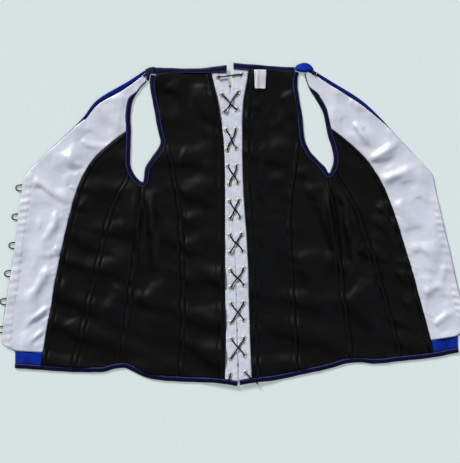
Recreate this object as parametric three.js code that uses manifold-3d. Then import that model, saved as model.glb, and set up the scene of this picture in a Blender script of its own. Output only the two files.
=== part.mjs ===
// A boned waistcoat laid open flat, lining up, as a set of sewn cloth walls.
// Millimetres. +Z is up, +Y runs towards the neck, and z = 0 is the surface it lies on.
// Each half has its own tables, because the two halves do not lie quite alike.
import * as THREE from "three";
import { mergeVertices } from "three/addons/utils/BufferGeometryUtils.js";
import Module from "manifold-3d";

const wasm = await Module();
wasm.setup();

// Cloth thicknesses
const PANEL_WALL = 2.2;
const SHELL_WALL = 1.5;
const FACING_WALL = 1.0;
const STRIP_WALL = 1.5;
const LABEL_WALL = 0.5;
const GAP = 0.3;

// Bone channels and bindings
const CHANNEL_WIDTH = 8;
const CHANNEL_RISE = 1.8;
const BINDING_WIDTH = 7.2;
const BINDING_HEIGHT = 3.2;

// Lacing: the strips stand on the lace that crosses beneath them
const LACE_RADIUS = 0.85;
const LACE_SIDES = 6;
const STRIP_FLOOR = 3.7;
const STRIP_OVERLAP_LIFT = 2.2;
const EYELET_HOLE_RADIUS = 2.3;
const EYELET_RADIUS = 4.4;
const EYELET_RISE = 0.4;
const EYELET_SIDES = 8;

// Hook and eye fastening
const LOOP_WIRE_RADIUS = 0.7;
const LOOP_REACH = 9.2;
const LOOP_WIDTH = 9.6;

// The garment's middle, measured in the tables' own frame
const CENTRE_X = 1.12;
const CENTRE_Y = 0.12;

const COLOURS = {
  lining: new THREE.MeshStandardMaterial({ color: 0x111214, roughness: 0.55, metalness: 0 }),
  facing: new THREE.MeshStandardMaterial({ color: 0xe9ecf2, roughness: 0.45, metalness: 0 }),
  velvet: new THREE.MeshStandardMaterial({ color: 0x1733a6, roughness: 0.9, metalness: 0 }),
  binding: new THREE.MeshStandardMaterial({ color: 0x0f1440, roughness: 0.6, metalness: 0 }),
  channel: new THREE.MeshStandardMaterial({ color: 0x17181b, roughness: 0.5, metalness: 0 }),
  lace: new THREE.MeshStandardMaterial({ color: 0x0b0b0d, roughness: 0.8, metalness: 0 }),
  wire: new THREE.MeshStandardMaterial({ color: 0x2c2d30, roughness: 0.35, metalness: 0.9 }),
  label: new THREE.MeshStandardMaterial({ color: 0xf4f4f2, roughness: 0.7, metalness: 0 }),
};

// Seam lines of each half: x at a height y. front is the outer front and neck edge,
// a to e are the seams from the front to the lacing, and cb is the free lacing edge.
const SEAM_COLUMNS = ["y", "front", "a", "b", "c", "d", "e", "cb"];
const LEFT_SEAMS = [
  [-250, -371, -311.5, -263, -187, -87, -12.4, 8.3],
  [-200, -370, -303.5, -252.3, -180.1, -85.5, -11.1, 7.2],
  [-160, -367.5, -296, -242.3, -174.8, -84.4, -10.7, 6.4],
  [-120, -362.3, -288.7, -233.1, -169.4, -83.6, -11.8, 5.7],
  [-80, -355.8, -282, -223.2, -164.3, -84, -11.9, 5.1],
  [-40, -349.5, -273.7, -214.1, -159.2, -84.9, -12.1, 4.6],
  [-10, -345.7, -267, -207.1, -156, -86, -12.1, 4.2],
  [20, -342.9, -259.7, -198.6, -153.6, -88.8, -12.1, 3.8],
  [45, -338.9, -252.7, -188.5, -152, -92.1, -12.1, 3.6],
  [65, -336.3, -245.6, -176.7, -151, -96, -12.2, 3.6],
  [80, -330.1, -238.9, -170, -151, -99.4, -12.3, 3.6],
  [110, -302.1, -218.7, -170, -151, -107, -13.1, 3.3],
  [140, -270.5, -185.7, -170, -151, -112, -15.1, 2.4],
  [170, -240.3, -145, -170, -151, -112, -18.9, 0.9],
  [200, -215.7, -140, -170, -151, -112, -24.1, -2.4],
  [230, -165.7, -140, -170, -151, -112, -31.1, -6.9],
  [247, -140, -140, -170, -151, -112, -35, -10.5],
];
const RIGHT_SEAMS = [
  [-250, 394, 327, 282, 196, 105, 30.6, 10.4],
  [-200, 384.5, 319.9, 269, 192.4, 103.5, 28.2, 8.9],
  [-160, 374.8, 310.7, 258.5, 186.9, 101.8, 26.9, 7.7],
  [-120, 365.4, 299.5, 247.1, 181.4, 99.8, 25.7, 6.5],
  [-80, 355.8, 288.7, 235.9, 176.8, 97.5, 25, 5.5],
  [-40, 347.1, 277, 224.6, 173.5, 95.5, 23.1, 3.6],
  [-10, 339.7, 267.8, 213.6, 171.9, 94.1, 21.4, 2.1],
  [20, 332.5, 257.9, 202.8, 168.7, 94.3, 19.1, -0.1],
  [45, 326.9, 248.5, 192.3, 165, 95.9, 17.4, -1.9],
  [65, 323.1, 239.3, 181.5, 161.7, 99.1, 16.4, -3],
  [80, 319.2, 231.1, 172, 159.6, 100.9, 15.8, -4],
  [110, 292.1, 209.5, 170, 159, 106.7, 15.2, -5.7],
  [140, 263.8, 177.7, 170, 159, 112, 15.2, -6.2],
  [170, 236.8, 140, 170, 159, 112, 15.4, -5.8],
  [200, 204, 130, 170, 159, 112, 17.2, -4.4],
  [230, 156, 130, 170, 159, 112, 23, -1.5],
  [247, 128, 130, 170, 159, 112, 25, 1],
];

// Panel edge along the hem, from the front to the lacing
const LEFT_HEM = [
  [-348, -222.5], [-307.8, -225.2], [-262, -228.4], [-225, -229], [-205, -228], [-190, -223.5],
  [-172, -222.2], [-156, -228.5], [-137, -237.5], [-112, -242], [-70, -244.5], [-25, -246], [10, -251],
];
const RIGHT_HEM = [
  [360, -197.2], [322, -205], [290, -209], [265, -211.5], [230, -215.3], [200, -213.2], [178, -215.8],
  [150, -224], [108, -233], [70, -241.3], [30, -245.8], [8, -249.8],
];

// Lower edge of the white facing, from the front to seam a
const LEFT_FACING_HEM = [[-369.8, -189.6], [-362.8, -194.9], [-346.8, -202.1], [-303.8, -204.6]];
const RIGHT_FACING_HEM = [[380, -168], [363.6, -174.5], [355.3, -179], [317.3, -184.8]];

// Free edge of the armhole binding, from the front shoulder down, round and up the back
const LEFT_ARMHOLE = [
  [-137.5, 228.5], [-143.5, 222.5], [-151.5, 212.5], [-159.5, 198], [-163.2, 177], [-162.6, 148],
  [-163.4, 118], [-163.4, 96], [-158.8, 82.5], [-150.5, 72.2], [-143.6, 68.2], [-142.4, 75], [-139.5, 92], [-130, 107],
  [-119.5, 122], [-115.6, 131], [-118.5, 145], [-122, 162], [-125.8, 184], [-130, 206],
  [-132.6, 222], [-132.4, 231], [-130.6, 239.6],
];
const RIGHT_ARMHOLE = [
  [114.8, 241.5], [117, 231], [122.5, 217], [132, 201], [142.5, 183], [148, 163], [151.2, 145],
  [156.5, 128], [160.5, 112], [160.5, 98], [157, 87.5], [154, 82.2], [147.5, 92], [136.5, 103],
  [125.5, 115], [118, 128], [114.2, 142], [112.4, 165], [108.8, 188], [105.4, 208],
  [103.8, 222], [104, 234], [106.4, 242.6],
];
// The facing rolls over the front of the armhole binding above these heights, and leaves a thin edge
const LEFT_ROLL = { from: 198, to: 213 };
const RIGHT_ROLL = { from: 204, to: 222 };
const ROLLED_SHARE = 0.18;
// Where seams a, b, c and d run into the armhole, as nearby points on its free edge
const LEFT_ARMHOLE_CORNERS = { a: [-162.8, 150], b: [-161.8, 88.5], c: [-146.2, 69.4], d: [-115.6, 130] };
const RIGHT_ARMHOLE_CORNERS = { a: [149.8, 152], b: [159, 91], c: [154, 82.2], d: [116, 134] };

// Height of the facing's outer edge against the height on seam a and the armhole, as [inner, outer]
const LEFT_FRONT_ROWS = [[-204.6, -190], [40, 62], [120, 163], [152, 194], [200, 225], [229, 246.5]];
const RIGHT_FRONT_ROWS = [[-184.8, -168], [40, 66], [120, 158], [152, 190], [200, 218], [238, 246]];
// Width of the shell's edge that shows beyond the facing, against height
const LEFT_SLIVER = [[-190, 0.8], [150, 0.8], [180, 4], [215, 6], [236, 3.5], [250, 3]];
const RIGHT_SLIVER = [[-170, 0.8], [150, 0.8], [175, 4], [200, 7], [232, 7], [250, 4]];

// Top edge of the back panel, from the shoulder to the lacing, and the outer edge of its binding
const LEFT_NECK = [[-123, 240.5], [-100, 243.4], [-76, 242.6], [-50, 242.2], [-8, 243.6]];
const LEFT_NECK_OUTER = [[-126, 251.2], [-100, 250.4], [-76, 249.6], [-50, 249.8], [-12.5, 254.4]];
const RIGHT_NECK = [[99.3, 245], [74, 246.6], [50, 246.8], [24, 247.4], [1, 248.6]];
const RIGHT_NECK_OUTER = [[99.5, 251.6], [74, 252.6], [50, 254.2], [24, 256], [2, 257.8]];

// Blue folds of the shell at the two shoulder seams, as outlines seen from above
const LEFT_SHOULDER = [
  [-137.7, 231], [-139.7, 247.2], [-134, 250.4], [-128, 251.8], [-123.9, 251.2], [-123.9, 241.2],
  [-131.3, 240.6], [-133.4, 232.5], [-135.6, 229.8],
];
const RIGHT_SHOULDER = [
  [99.8, 246.6], [100.3, 252.2], [106, 256.5], [116.4, 258.4], [125, 254.6], [129, 247.1], [117.8, 243.6],
  [113.8, 243.2], [107, 244.2],
];
const SHOULDER_RISE = 6;

// Eyelet centres of the left and right lacing strips, one pair a row from the neck down
const EYELET_COLUMNS = ["leftX", "leftY", "rightX", "rightY"];
const EYELETS = [
  [-23.6, 235.2, 14.8, 239.2], [-17.2, 207.2, 9.2, 211.2], [-13.2, 180, 6.8, 183.2], [-10.4, 150.6, 5, 151.7],
  [-8.8, 118.7, 6, 121.3], [-7.4, 93.4, 6.6, 93.4], [-5.4, 63.8, 8.4, 66.4], [-4.6, 36.8, 10.2, 38.2],
  [-4.3, 9.9, 12, 10.7], [-4.1, -17.4, 14.3, -15.7], [-4.4, -45, 16.2, -43.2], [-3.3, -73.4, 17.7, -70.2],
  [-3, -101, 17.8, -96.3], [-2.4, -126.7, 17.8, -125.3], [-2.4, -156.6, 18.2, -152.8],
  [-1.5, -183.7, 18.6, -181.6], [-3.2, -214.1, 19.2, -209], [-3.8, -240, 20.4, -237],
];

// Wire loops on the left front edge, as the height of each loop's middle
const LOOP_HEIGHTS = [58.6, 12.2, -33.4, -78.4, -123.2, -168];

// Soft folds that lift a half off the surface: a ridge from one point to another
const FOLD_COLUMNS = ["x0", "y0", "x1", "y1", "height", "width"];
const LEFT_FOLDS = [
  [-153, 46, -151, -52, 8, 8], [-129, 44, -129, -62, 7.5, 8], [-330, -150, -292, 30, 3, 17],
  [-225, 168, -188, 190, 4.5, 15], [-300, 88, -238, 118, 3.5, 13], [-318, 50, -262, 40, 2.5, 12],
];
const RIGHT_FOLDS = [
  [153, 52, 166, -62, 8, 8], [179, 40, 192, -62, 7, 8], [196, 160, 238, 122, 5, 12],
  [222, 96, 268, 138, 3.5, 13], [245, 64, 305, 92, 3, 14], [300, -120, 322, 20, 2.5, 16],
];

const LEFT = {
  name: "left", seams: LEFT_SEAMS, hem: LEFT_HEM, facingHem: LEFT_FACING_HEM, armhole: LEFT_ARMHOLE,
  corners: LEFT_ARMHOLE_CORNERS, roll: LEFT_ROLL, frontRows: LEFT_FRONT_ROWS, sliver: LEFT_SLIVER,
  neck: LEFT_NECK, neckOuter: LEFT_NECK_OUTER, folds: LEFT_FOLDS, shoulder: LEFT_SHOULDER, over: 0,
};
const RIGHT = {
  name: "right", seams: RIGHT_SEAMS, hem: RIGHT_HEM, facingHem: RIGHT_FACING_HEM, armhole: RIGHT_ARMHOLE,
  corners: RIGHT_ARMHOLE_CORNERS, roll: RIGHT_ROLL, frontRows: RIGHT_FRONT_ROWS, sliver: RIGHT_SLIVER,
  neck: RIGHT_NECK, neckOuter: RIGHT_NECK_OUTER, folds: RIGHT_FOLDS, shoulder: RIGHT_SHOULDER, over: STRIP_OVERLAP_LIFT,
};

// Rows of the panels: below the armhole, and above it
const FACING_HEM_SHARE = 0.056;
const LOWER_ROWS = 13;
const BACK_UPPER_ROWS = 5;
const FRONT_UPPER_ROWS = 4;
const BACK_SPLIT_Y = 121;

// Plain helpers

const clamp = (value, low, high) => Math.min(high, Math.max(low, value));
const smooth = (value) => {
  const t = clamp(value, 0, 1);
  return t * t * (3 - 2 * t);
};
const lerp = (from, to, t) => from + (to - from) * t;
const mix = (p, q, t) => new THREE.Vector2(lerp(p.x, q.x, t), lerp(p.y, q.y, t));
const named = (row, columns) => Object.fromEntries(columns.map((column, i) => [column, row[i]]));
const toPoints = (pairs) => pairs.map(([x, y]) => new THREE.Vector2(x, y));

// A value read from a short table of [at, value] pairs by a smooth cubic through its rows
function tableValue(pairs, at) {
  const rows = [...pairs].sort((p, q) => p[0] - q[0]);
  const last = rows.length - 1;
  const slope = (i) => {
    const low = rows[Math.max(0, i - 1)];
    const high = rows[Math.min(last, i + 1)];
    return (high[1] - low[1]) / (high[0] - low[0]);
  };
  const x = clamp(at, rows[0][0], rows[last][0]);
  let i = 0;
  while (i < last - 1 && x > rows[i + 1][0]) i += 1;
  const span = rows[i + 1][0] - rows[i][0];
  const t = (x - rows[i][0]) / span;
  const t2 = t * t;
  const t3 = t2 * t;
  return (2 * t3 - 3 * t2 + 1) * rows[i][1] + (t3 - 2 * t2 + t) * span * slope(i)
    + (3 * t2 - 2 * t3) * rows[i + 1][1] + (t3 - t2) * span * slope(i + 1);
}

const seamX = (half, seam, y) => {
  const column = SEAM_COLUMNS.indexOf(seam);
  return tableValue(half.seams.map((row) => [row[0], row[column]]), y);
};
const seamPoint = (half, seam, y) => new THREE.Vector2(seamX(half, seam, y), y);

// How high the cloth's underside is above the surface: the back panels slope down from the lacing
// strips, and the right strip rises on to the left one above LIFT_FROM
const SLOPE_START = 3;
const SLOPE_LENGTH = 46;
const LIFT_FROM = -135;
const LIFT_LENGTH = 60;
const LIES_FLAT_BELOW = 0.05;
const stripLift = (y) => smooth((y - LIFT_FROM) / LIFT_LENGTH);
function height(half, x, y) {
  const side = half === LEFT ? -1 : 1;
  const stripEdge = seamX(half, "e", y);
  const stripHeight = STRIP_FLOOR + half.over * stripLift(y);
  let z = stripHeight * (1 - smooth((side * (x - stripEdge) - SLOPE_START) / SLOPE_LENGTH));
  for (const row of half.folds) {
    const fold = named(row, FOLD_COLUMNS);
    const dx = fold.x1 - fold.x0;
    const dy = fold.y1 - fold.y0;
    const length = Math.hypot(dx, dy);
    const along = ((x - fold.x0) * dx + (y - fold.y0) * dy) / length;
    const across = ((x - fold.x0) * dy - (y - fold.y0) * dx) / length;
    const past = Math.max(0, -along, along - length);
    z += fold.height * Math.exp(-(across * across + past * past) / (fold.width * fold.width));
  }
  return z < LIES_FLAT_BELOW ? 0 : z;
}

// A closed body from a grid of plan points, between a lower and an upper height over each point
function slab(grid, low, high) {
  const rows = grid.length;
  const columns = grid[0].length;
  const positions = [];
  const lay = (heightOf) => grid.forEach((row, i) => row.forEach((p, j) => {
    positions.push(p.x, p.y, heightOf(p, i, j));
  }));
  lay(low);
  lay(high);
  const at = (layer, i, j) => layer * rows * columns + i * columns + j;
  const faces = [];
  const quad = (a, b, c, d) => faces.push(a, b, c, a, c, d);
  for (let i = 0; i < rows - 1; i += 1) {
    for (let j = 0; j < columns - 1; j += 1) {
      quad(at(1, i, j), at(1, i, j + 1), at(1, i + 1, j + 1), at(1, i + 1, j));
      quad(at(0, i, j), at(0, i + 1, j), at(0, i + 1, j + 1), at(0, i, j + 1));
    }
  }
  for (let j = 0; j < columns - 1; j += 1) {
    quad(at(0, 0, j), at(0, 0, j + 1), at(1, 0, j + 1), at(1, 0, j));
    quad(at(0, rows - 1, j + 1), at(0, rows - 1, j), at(1, rows - 1, j), at(1, rows - 1, j + 1));
  }
  for (let i = 0; i < rows - 1; i += 1) {
    quad(at(0, i + 1, 0), at(0, i, 0), at(1, i, 0), at(1, i + 1, 0));
    quad(at(0, i, columns - 1), at(0, i + 1, columns - 1), at(1, i + 1, columns - 1), at(1, i, columns - 1));
  }
  return facingOut(positions, faces);
}

// Turns a closed body's faces outwards if its grid ran clockwise
function facingOut(positions, faces) {
  const point = (k) => new THREE.Vector3(positions[3 * k], positions[3 * k + 1], positions[3 * k + 2]);
  let volume = 0;
  for (let k = 0; k < faces.length; k += 3) {
    volume += point(faces[k]).dot(point(faces[k + 1]).cross(point(faces[k + 2])));
  }
  if (volume < 0) {
    for (let k = 0; k < faces.length; k += 3) [faces[k + 1], faces[k + 2]] = [faces[k + 2], faces[k + 1]];
  }
  const geometry = new THREE.BufferGeometry();
  geometry.setAttribute("position", new THREE.Float32BufferAttribute(positions, 3));
  geometry.setIndex(faces);
  return geometry;
}

// A closed body through rings of points that all have the same number of points
function loft(rings) {
  const count = rings[0].length;
  const positions = rings.flat().flatMap((p) => [p.x, p.y, p.z]);
  const faces = [];
  for (let i = 0; i < rings.length - 1; i += 1) {
    for (let j = 0; j < count; j += 1) {
      const next = (j + 1) % count;
      const a = i * count + j;
      const b = i * count + next;
      faces.push(a, b, b + count, a, b + count, a + count);
    }
  }
  const end = (rings.length - 1) * count;
  for (let j = 1; j < count - 1; j += 1) {
    faces.push(0, j + 1, j);
    faces.push(end, end + j, end + j + 1);
  }
  return facingOut(positions, faces);
}

// A round tube along a line of points, with rings square to the bend at each point
function tube(points, radius, sides) {
  const last = points.length - 1;
  const tangent = (i) => points[Math.min(last, i + 1)].clone().sub(points[Math.max(0, i - 1)]).normalize();
  let side = new THREE.Vector3(0, 0, 1).cross(tangent(0));
  if (side.length() < 0.1) side = new THREE.Vector3(1, 0, 0);
  return loft(points.map((centre, i) => {
    const along = tangent(i);
    side = side.clone().sub(along.clone().multiplyScalar(side.dot(along))).normalize();
    const up = along.clone().cross(side);
    return Array.from({ length: sides }, (_, k) => {
      const angle = (2 * Math.PI * k) / sides;
      return centre.clone().addScaledVector(side, radius * Math.cos(angle))
        .addScaledVector(up, radius * Math.sin(angle));
    });
  }));
}

// Edges and grids

// A line of plan points as a function of its share of length
function lineOf(points) {
  const reach = [0];
  for (let i = 1; i < points.length; i += 1) reach.push(reach[i - 1] + points[i].distanceTo(points[i - 1]));
  const total = reach[reach.length - 1];
  return (share) => {
    const at = clamp(share, 0, 1) * total;
    let i = 0;
    while (i < points.length - 2 && at > reach[i + 1]) i += 1;
    return mix(points[i], points[i + 1], (at - reach[i]) / (reach[i + 1] - reach[i]));
  };
}

// A smooth line through a short list of plan points
const FINE_STEPS = 160;
function smoothLine(pairs) {
  const curve = new THREE.CatmullRomCurve3(pairs.map(([x, y]) => new THREE.Vector3(x, y, 0)));
  return curve.getSpacedPoints(FINE_STEPS).map((p) => new THREE.Vector2(p.x, p.y));
}

const nearestIndex = (points, target) => {
  const distances = points.map((p) => p.distanceTo(target));
  return distances.indexOf(Math.min(...distances));
};

// The armhole's free edge and the panels' edge outside it, with the seams' corners on both
function armholeOf(half) {
  const free = smoothLine(half.armhole);
  const outwardTurn = half === LEFT ? 1 : -1;
  const outward = free.map((p, i) => {
    const along = free[Math.min(free.length - 1, i + 2)].clone().sub(free[Math.max(0, i - 2)]).normalize();
    return new THREE.Vector2(along.y * outwardTurn, -along.x * outwardTurn);
  });
  const tip = free.indexOf(free.reduce((low, p) => (p.y < low.y ? p : low)));
  const width = free.map((p, i) => {
    const rolled = i < tip ? smooth((p.y - half.roll.from) / (half.roll.to - half.roll.from)) : 0;
    return BINDING_WIDTH * lerp(1, ROLLED_SHARE, rolled);
  });
  const edge = free.map((p, i) => p.clone().addScaledVector(outward[i], width[i] + GAP));
  const corner = {};
  for (const seam of ["a", "b", "c", "d"]) {
    corner[seam] = nearestIndex(free, new THREE.Vector2(...half.corners[seam]));
  }
  corner.front = 0;
  corner.back = free.length - 1;
  const stretch = (from, to) => {
    const [low, high] = from < to ? [from, to] : [to, from];
    const part = edge.slice(low, high + 1);
    return from < to ? part : part.reverse();
  };
  return { edge, outward, width, corner, stretch };
}

// A seam from the hem up to a given point, which it bends to meet over its last stretch
const MEET_LENGTH = 70;
function seamLine(half, seam, bottomY, top) {
  const points = [];
  for (let k = 0; k <= FINE_STEPS; k += 1) {
    const y = lerp(bottomY, top.y, k / FINE_STEPS);
    const bend = smooth((y - (top.y - MEET_LENGTH)) / MEET_LENGTH);
    points.push(new THREE.Vector2(seamX(half, seam, y) + bend * (top.x - seamX(half, seam, top.y)), y));
  }
  return points;
}

// Where a seam crosses the hem, found by stepping between the two
const CROSSING_STEPS = 8;
function hemCrossing(half, seam) {
  const x = (y) => seamX(half, seam, y);
  let y = half.hem[Math.floor(half.hem.length / 2)][1];
  for (let k = 0; k < CROSSING_STEPS; k += 1) y = tableValue(half.hem, x(y));
  return new THREE.Vector2(x(y), y);
}

// A Coons patch between four lines, as a function of the shares across and along
function patch(left, right, bottom, top) {
  const [l, r, b, t] = [left, right, bottom, top].map(lineOf);
  const corners = [b(0), b(1), t(0), t(1)];
  return (u, v) => {
    const ruled = mix(b(u), t(u), v).add(mix(l(v), r(v), u));
    return ruled.sub(mix(mix(corners[0], corners[1], u), mix(corners[2], corners[3], u), v));
  };
}

// Columns of a panel: millimetres from the first or last seam up to a share of its width, or a share
const fromFirst = (mm, most) => (width) => Math.min(mm / width, most);
const share = (part) => () => part;
const fromLast = (mm, most) => (width) => 1 - Math.min(mm / width, most);
function gridOf(surface, columns, rowShares) {
  return rowShares.map((v) => {
    const width = surface(0, v).distanceTo(surface(1, v));
    return columns.map((column) => surface(clamp(column(width), 0, 1), v));
  });
}

const LOWER_SHARES = [0, FACING_HEM_SHARE];
for (let k = 2; k <= LOWER_ROWS; k += 1) {
  LOWER_SHARES.push(lerp(FACING_HEM_SHARE, 1, (k - 1) / (LOWER_ROWS - 1)));
}
const sharesOf = (count) => Array.from({ length: count }, (_, k) => (k + 1) / count);

// Shrinks a grid in plan, so that neighbours stay apart at their seam
function setIn(grid, first, last) {
  return grid.map((row) => {
    const end = row.length - 1;
    const shift = (p, q, distance) => p.clone().addScaledVector(q.clone().sub(p).normalize(), distance);
    return row.map((p, j) => {
      if (j === 0) return shift(p, row[1], first);
      if (j === end) return shift(p, row[end - 1], last);
      return p;
    });
  });
}

const group = new THREE.Group();
function add(name, geometry, material) {
  const mesh = new THREE.Mesh(geometry, material);
  mesh.name = name;
  group.add(mesh);
}

// Panels of one half

const SEAM_INSET = GAP / 2;
const channelColumn = (most) => fromFirst(CHANNEL_WIDTH, most);
const PANEL_COLUMNS = {
  a: [share(0), channelColumn(0.3), share(0.42), share(0.7), share(1)],
  b: [share(0), channelColumn(0.3), share(0.38), share(0.6), fromLast(16, 0.28), fromLast(7, 0.12), share(1)],
  c: [share(0), channelColumn(0.14), fromFirst(15, 0.26), fromFirst(22, 0.37), fromFirst(30, 0.48),
    fromFirst(40, 0.6), share(0.77), share(1)],
};
const EDGE_TO_CHANNEL = 4;
const BACK_COLUMNS = [
  share(0), channelColumn(0.2), share(0.3), share(0.48), fromLast(30, 0.4), fromLast(18, 0.25),
  fromLast(EDGE_TO_CHANNEL + CHANNEL_WIDTH, 0.16), fromLast(EDGE_TO_CHANNEL, 0.06), share(1),
];

const HEM_STEPS = 24;
const NECK_CLEAR_OF_SHOULDER = 6;
const NECK_CLEAR_OF_STRIP = 4;
function halfGrids(half) {
  const arm = armholeOf(half);
  const top = {
    a: arm.edge[arm.corner.a], b: arm.edge[arm.corner.b], c: arm.edge[arm.corner.c],
    d: arm.edge[arm.corner.d], e: seamPoint(half, "e", BACK_SPLIT_Y),
  };
  const foot = Object.fromEntries(["a", "b", "c", "d", "e", "cb"].map((s) => [s, hemCrossing(half, s)]));
  const line = Object.fromEntries(Object.keys(top).map((s) => [s, seamLine(half, s, foot[s].y, top[s])]));
  const hemLine = (from, to) => Array.from({ length: HEM_STEPS + 1 }, (_, k) => {
    const x = lerp(from.x, to.x, k / HEM_STEPS);
    return new THREE.Vector2(x, tableValue(half.hem, x));
  });
  const lower = {};
  for (const [seam, next] of [["a", "b"], ["b", "c"], ["c", "d"]]) {
    const upperEdge = arm.stretch(arm.corner[seam], arm.corner[next]);
    const surface = patch(line[seam], line[next], hemLine(foot[seam], foot[next]), upperEdge);
    lower[seam] = gridOf(surface, PANEL_COLUMNS[seam], LOWER_SHARES);
  }
  const backLow = patch(line.d, line.e, hemLine(foot.d, foot.e), [top.d, top.e]);
  const neckLine = smoothLine(half.neck);
  const neckAt = (x) => new THREE.Vector2(x, tableValue(half.neck, x));
  const backEnd = arm.edge[arm.corner.back];
  const neckE = neckAt(seamX(half, "e", half.neck[3][1]));
  const neckPart = [backEnd, ...neckLine.filter((p) => Math.abs(p.x) < Math.abs(backEnd.x) - NECK_CLEAR_OF_SHOULDER
    && Math.abs(p.x) > Math.abs(neckE.x) + NECK_CLEAR_OF_STRIP), neckE];
  const sideUp = arm.stretch(arm.corner.d, arm.corner.back);
  const innerUp = seamLine(half, "e", BACK_SPLIT_Y, neckE);
  const backHigh = patch(sideUp, innerUp, [top.d, top.e], neckPart);
  const back = [
    ...gridOf(backLow, BACK_COLUMNS, LOWER_SHARES),
    ...gridOf(backHigh, BACK_COLUMNS, sharesOf(BACK_UPPER_ROWS)),
  ];
  return { arm, foot, line, lower, back, neckE };
}

// The front shell: two rows under the facing's lower edge, then rows up to the shoulder
const FRONT_COLUMNS = [0.18, 0.38, 0.58, 0.8, 1];
const TAB_CLEAR_OF_FACING = 1;
const SLIVER_AT_HEM = 0.05;
function frontGrid(half, grids) {
  const { arm, line } = grids;
  const lowerInner = LOWER_SHARES.slice(1).map(lineOf(line.a));
  const upperInner = sharesOf(FRONT_UPPER_ROWS).map(lineOf(arm.stretch(arm.corner.a, arm.corner.front)));
  const inner = [...lowerInner, ...upperInner];
  const rows = inner.map((p) => {
    const outerY = tableValue(half.frontRows, p.y);
    const outer = seamPoint(half, "front", outerY);
    const wide = outer.distanceTo(p);
    const sliver = tableValue(half.sliver, outerY) / wide;
    const shares = [0, sliver, ...FRONT_COLUMNS.map((s) => lerp(sliver, 1, s))];
    return shares.map((s) => mix(outer, p, s));
  });
  const facingHem = lineOf(toPoints(half.facingHem));
  const firstRow = rows[0];
  const bottomRow = firstRow.map((p, j) => (j === 0 ? p : facingHem((j - 1) / (firstRow.length - 2))));
  bottomRow[firstRow.length - 1] = inner[0];
  bottomRow[0] = mix(bottomRow[1], bottomRow[2], -SLIVER_AT_HEM);
  rows[0] = bottomRow;
  const tabEdge = half.hem[0][0];
  const innerFoot = lineOf(line.a)(0);
  const tabTop = [];
  const tabFoot = [];
  bottomRow.forEach((p, j) => {
    const s = j / (bottomRow.length - 1);
    const x = lerp(tabEdge, innerFoot.x, s);
    tabFoot.push(new THREE.Vector2(x, tableValue(half.hem, x)));
    const under = mix(new THREE.Vector2(tabEdge, 0), new THREE.Vector2(inner[0].x, 0), s).x;
    tabTop.push(new THREE.Vector2(under, tableValue(half.facingHem, under) - TAB_CLEAR_OF_FACING));
  });
  tabTop[tabTop.length - 1] = inner[0].clone().add(new THREE.Vector2(0, -TAB_CLEAR_OF_FACING));
  return [tabFoot, tabTop, ...rows];
}

// The binding's rounded section as shares of its width and height
const BINDING_SECTION_COLUMNS = ["out", "up"];
const BINDING_SECTION = [[0, 0], [1, 0], [1, 0.55], [0.62, 1], [0.2, 0.94], [0, 0.72]];

// A binding outside a line of edge points, towards a given side
function bindingOf(half, edge, normals, widths) {
  const rings = edge.map((p, i) => BINDING_SECTION.map((row) => {
    const { out, up } = named(row, BINDING_SECTION_COLUMNS);
    const base = height(half, p.x, p.y);
    const at = p.clone().addScaledVector(normals[i], GAP + out * widths[i]);
    return new THREE.Vector3(at.x, at.y, base + up * BINDING_HEIGHT);
  }));
  return loft(rings);
}

// Normals of an open line of points, turned to one side
function normalsOf(points, turn) {
  return points.map((p, i) => {
    const before = points[Math.max(0, i - 1)];
    const after = points[Math.min(points.length - 1, i + 1)];
    const along = after.clone().sub(before).normalize();
    return new THREE.Vector2(along.y * turn, -along.x * turn);
  });
}

// A bone channel on a panel's grid, between two of its columns
function channelOn(half, name, grid, firstColumn, fromRow, toRow, wall) {
  const part = grid.slice(fromRow, toRow + 1).map((row) => row.slice(firstColumn, firstColumn + 2));
  const base = (p) => height(half, p.x, p.y) + wall + GAP;
  add(name, slab(part, base, (p) => base(p) + CHANNEL_RISE), COLOURS.channel);
}

// Lacing strip with its eyelets: a flat outline with holes and raised rims, then lifted

// A solid that can be joined to others, from a closed geometry
function solidFrom(geometry) {
  const bare = new THREE.BufferGeometry();
  const source = geometry.index ? geometry.toNonIndexed() : geometry;
  bare.setAttribute("position", source.getAttribute("position").clone());
  const merged = mergeVertices(bare, 1e-4);
  return new wasm.Manifold(new wasm.Mesh({
    numProp: 3,
    vertProperties: new Float32Array(merged.attributes.position.array),
    triVerts: new Uint32Array(merged.index.array),
  }));
}

function circlePath(x, y, radius) {
  const path = new THREE.Path();
  path.setFromPoints(Array.from({ length: EYELET_SIDES }, (_, k) => {
    const angle = (2 * Math.PI * (k + 0.5)) / EYELET_SIDES;
    return new THREE.Vector2(x + radius * Math.cos(angle), y + radius * Math.sin(angle));
  }));
  return path;
}

function stripOf(half, outline, centres) {
  const shape = new THREE.Shape(outline);
  shape.holes = centres.map((c) => circlePath(c.x, c.y, EYELET_HOLE_RADIUS));
  let solid = solidFrom(new THREE.ExtrudeGeometry(shape, { depth: STRIP_WALL, bevelEnabled: false }));
  for (const c of centres) {
    const rim = new THREE.Shape(circlePath(c.x, c.y, EYELET_RADIUS).getPoints());
    rim.holes = [circlePath(c.x, c.y, EYELET_HOLE_RADIUS)];
    const depth = STRIP_WALL / 2 + EYELET_RISE;
    const ring = new THREE.ExtrudeGeometry(rim, { depth, bevelEnabled: false });
    ring.translate(0, 0, STRIP_WALL / 2);
    solid = solid.add(solidFrom(ring));
  }
  const mesh = solid.getMesh();
  const positions = [];
  for (let k = 0; k < mesh.numVert; k += 1) {
    const [x, y, z] = mesh.vertProperties.slice(k * mesh.numProp, k * mesh.numProp + 3);
    positions.push(x, y, z + STRIP_FLOOR + half.over * stripLift(y));
  }
  return facingOut(positions, [...mesh.triVerts]);
}

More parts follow.
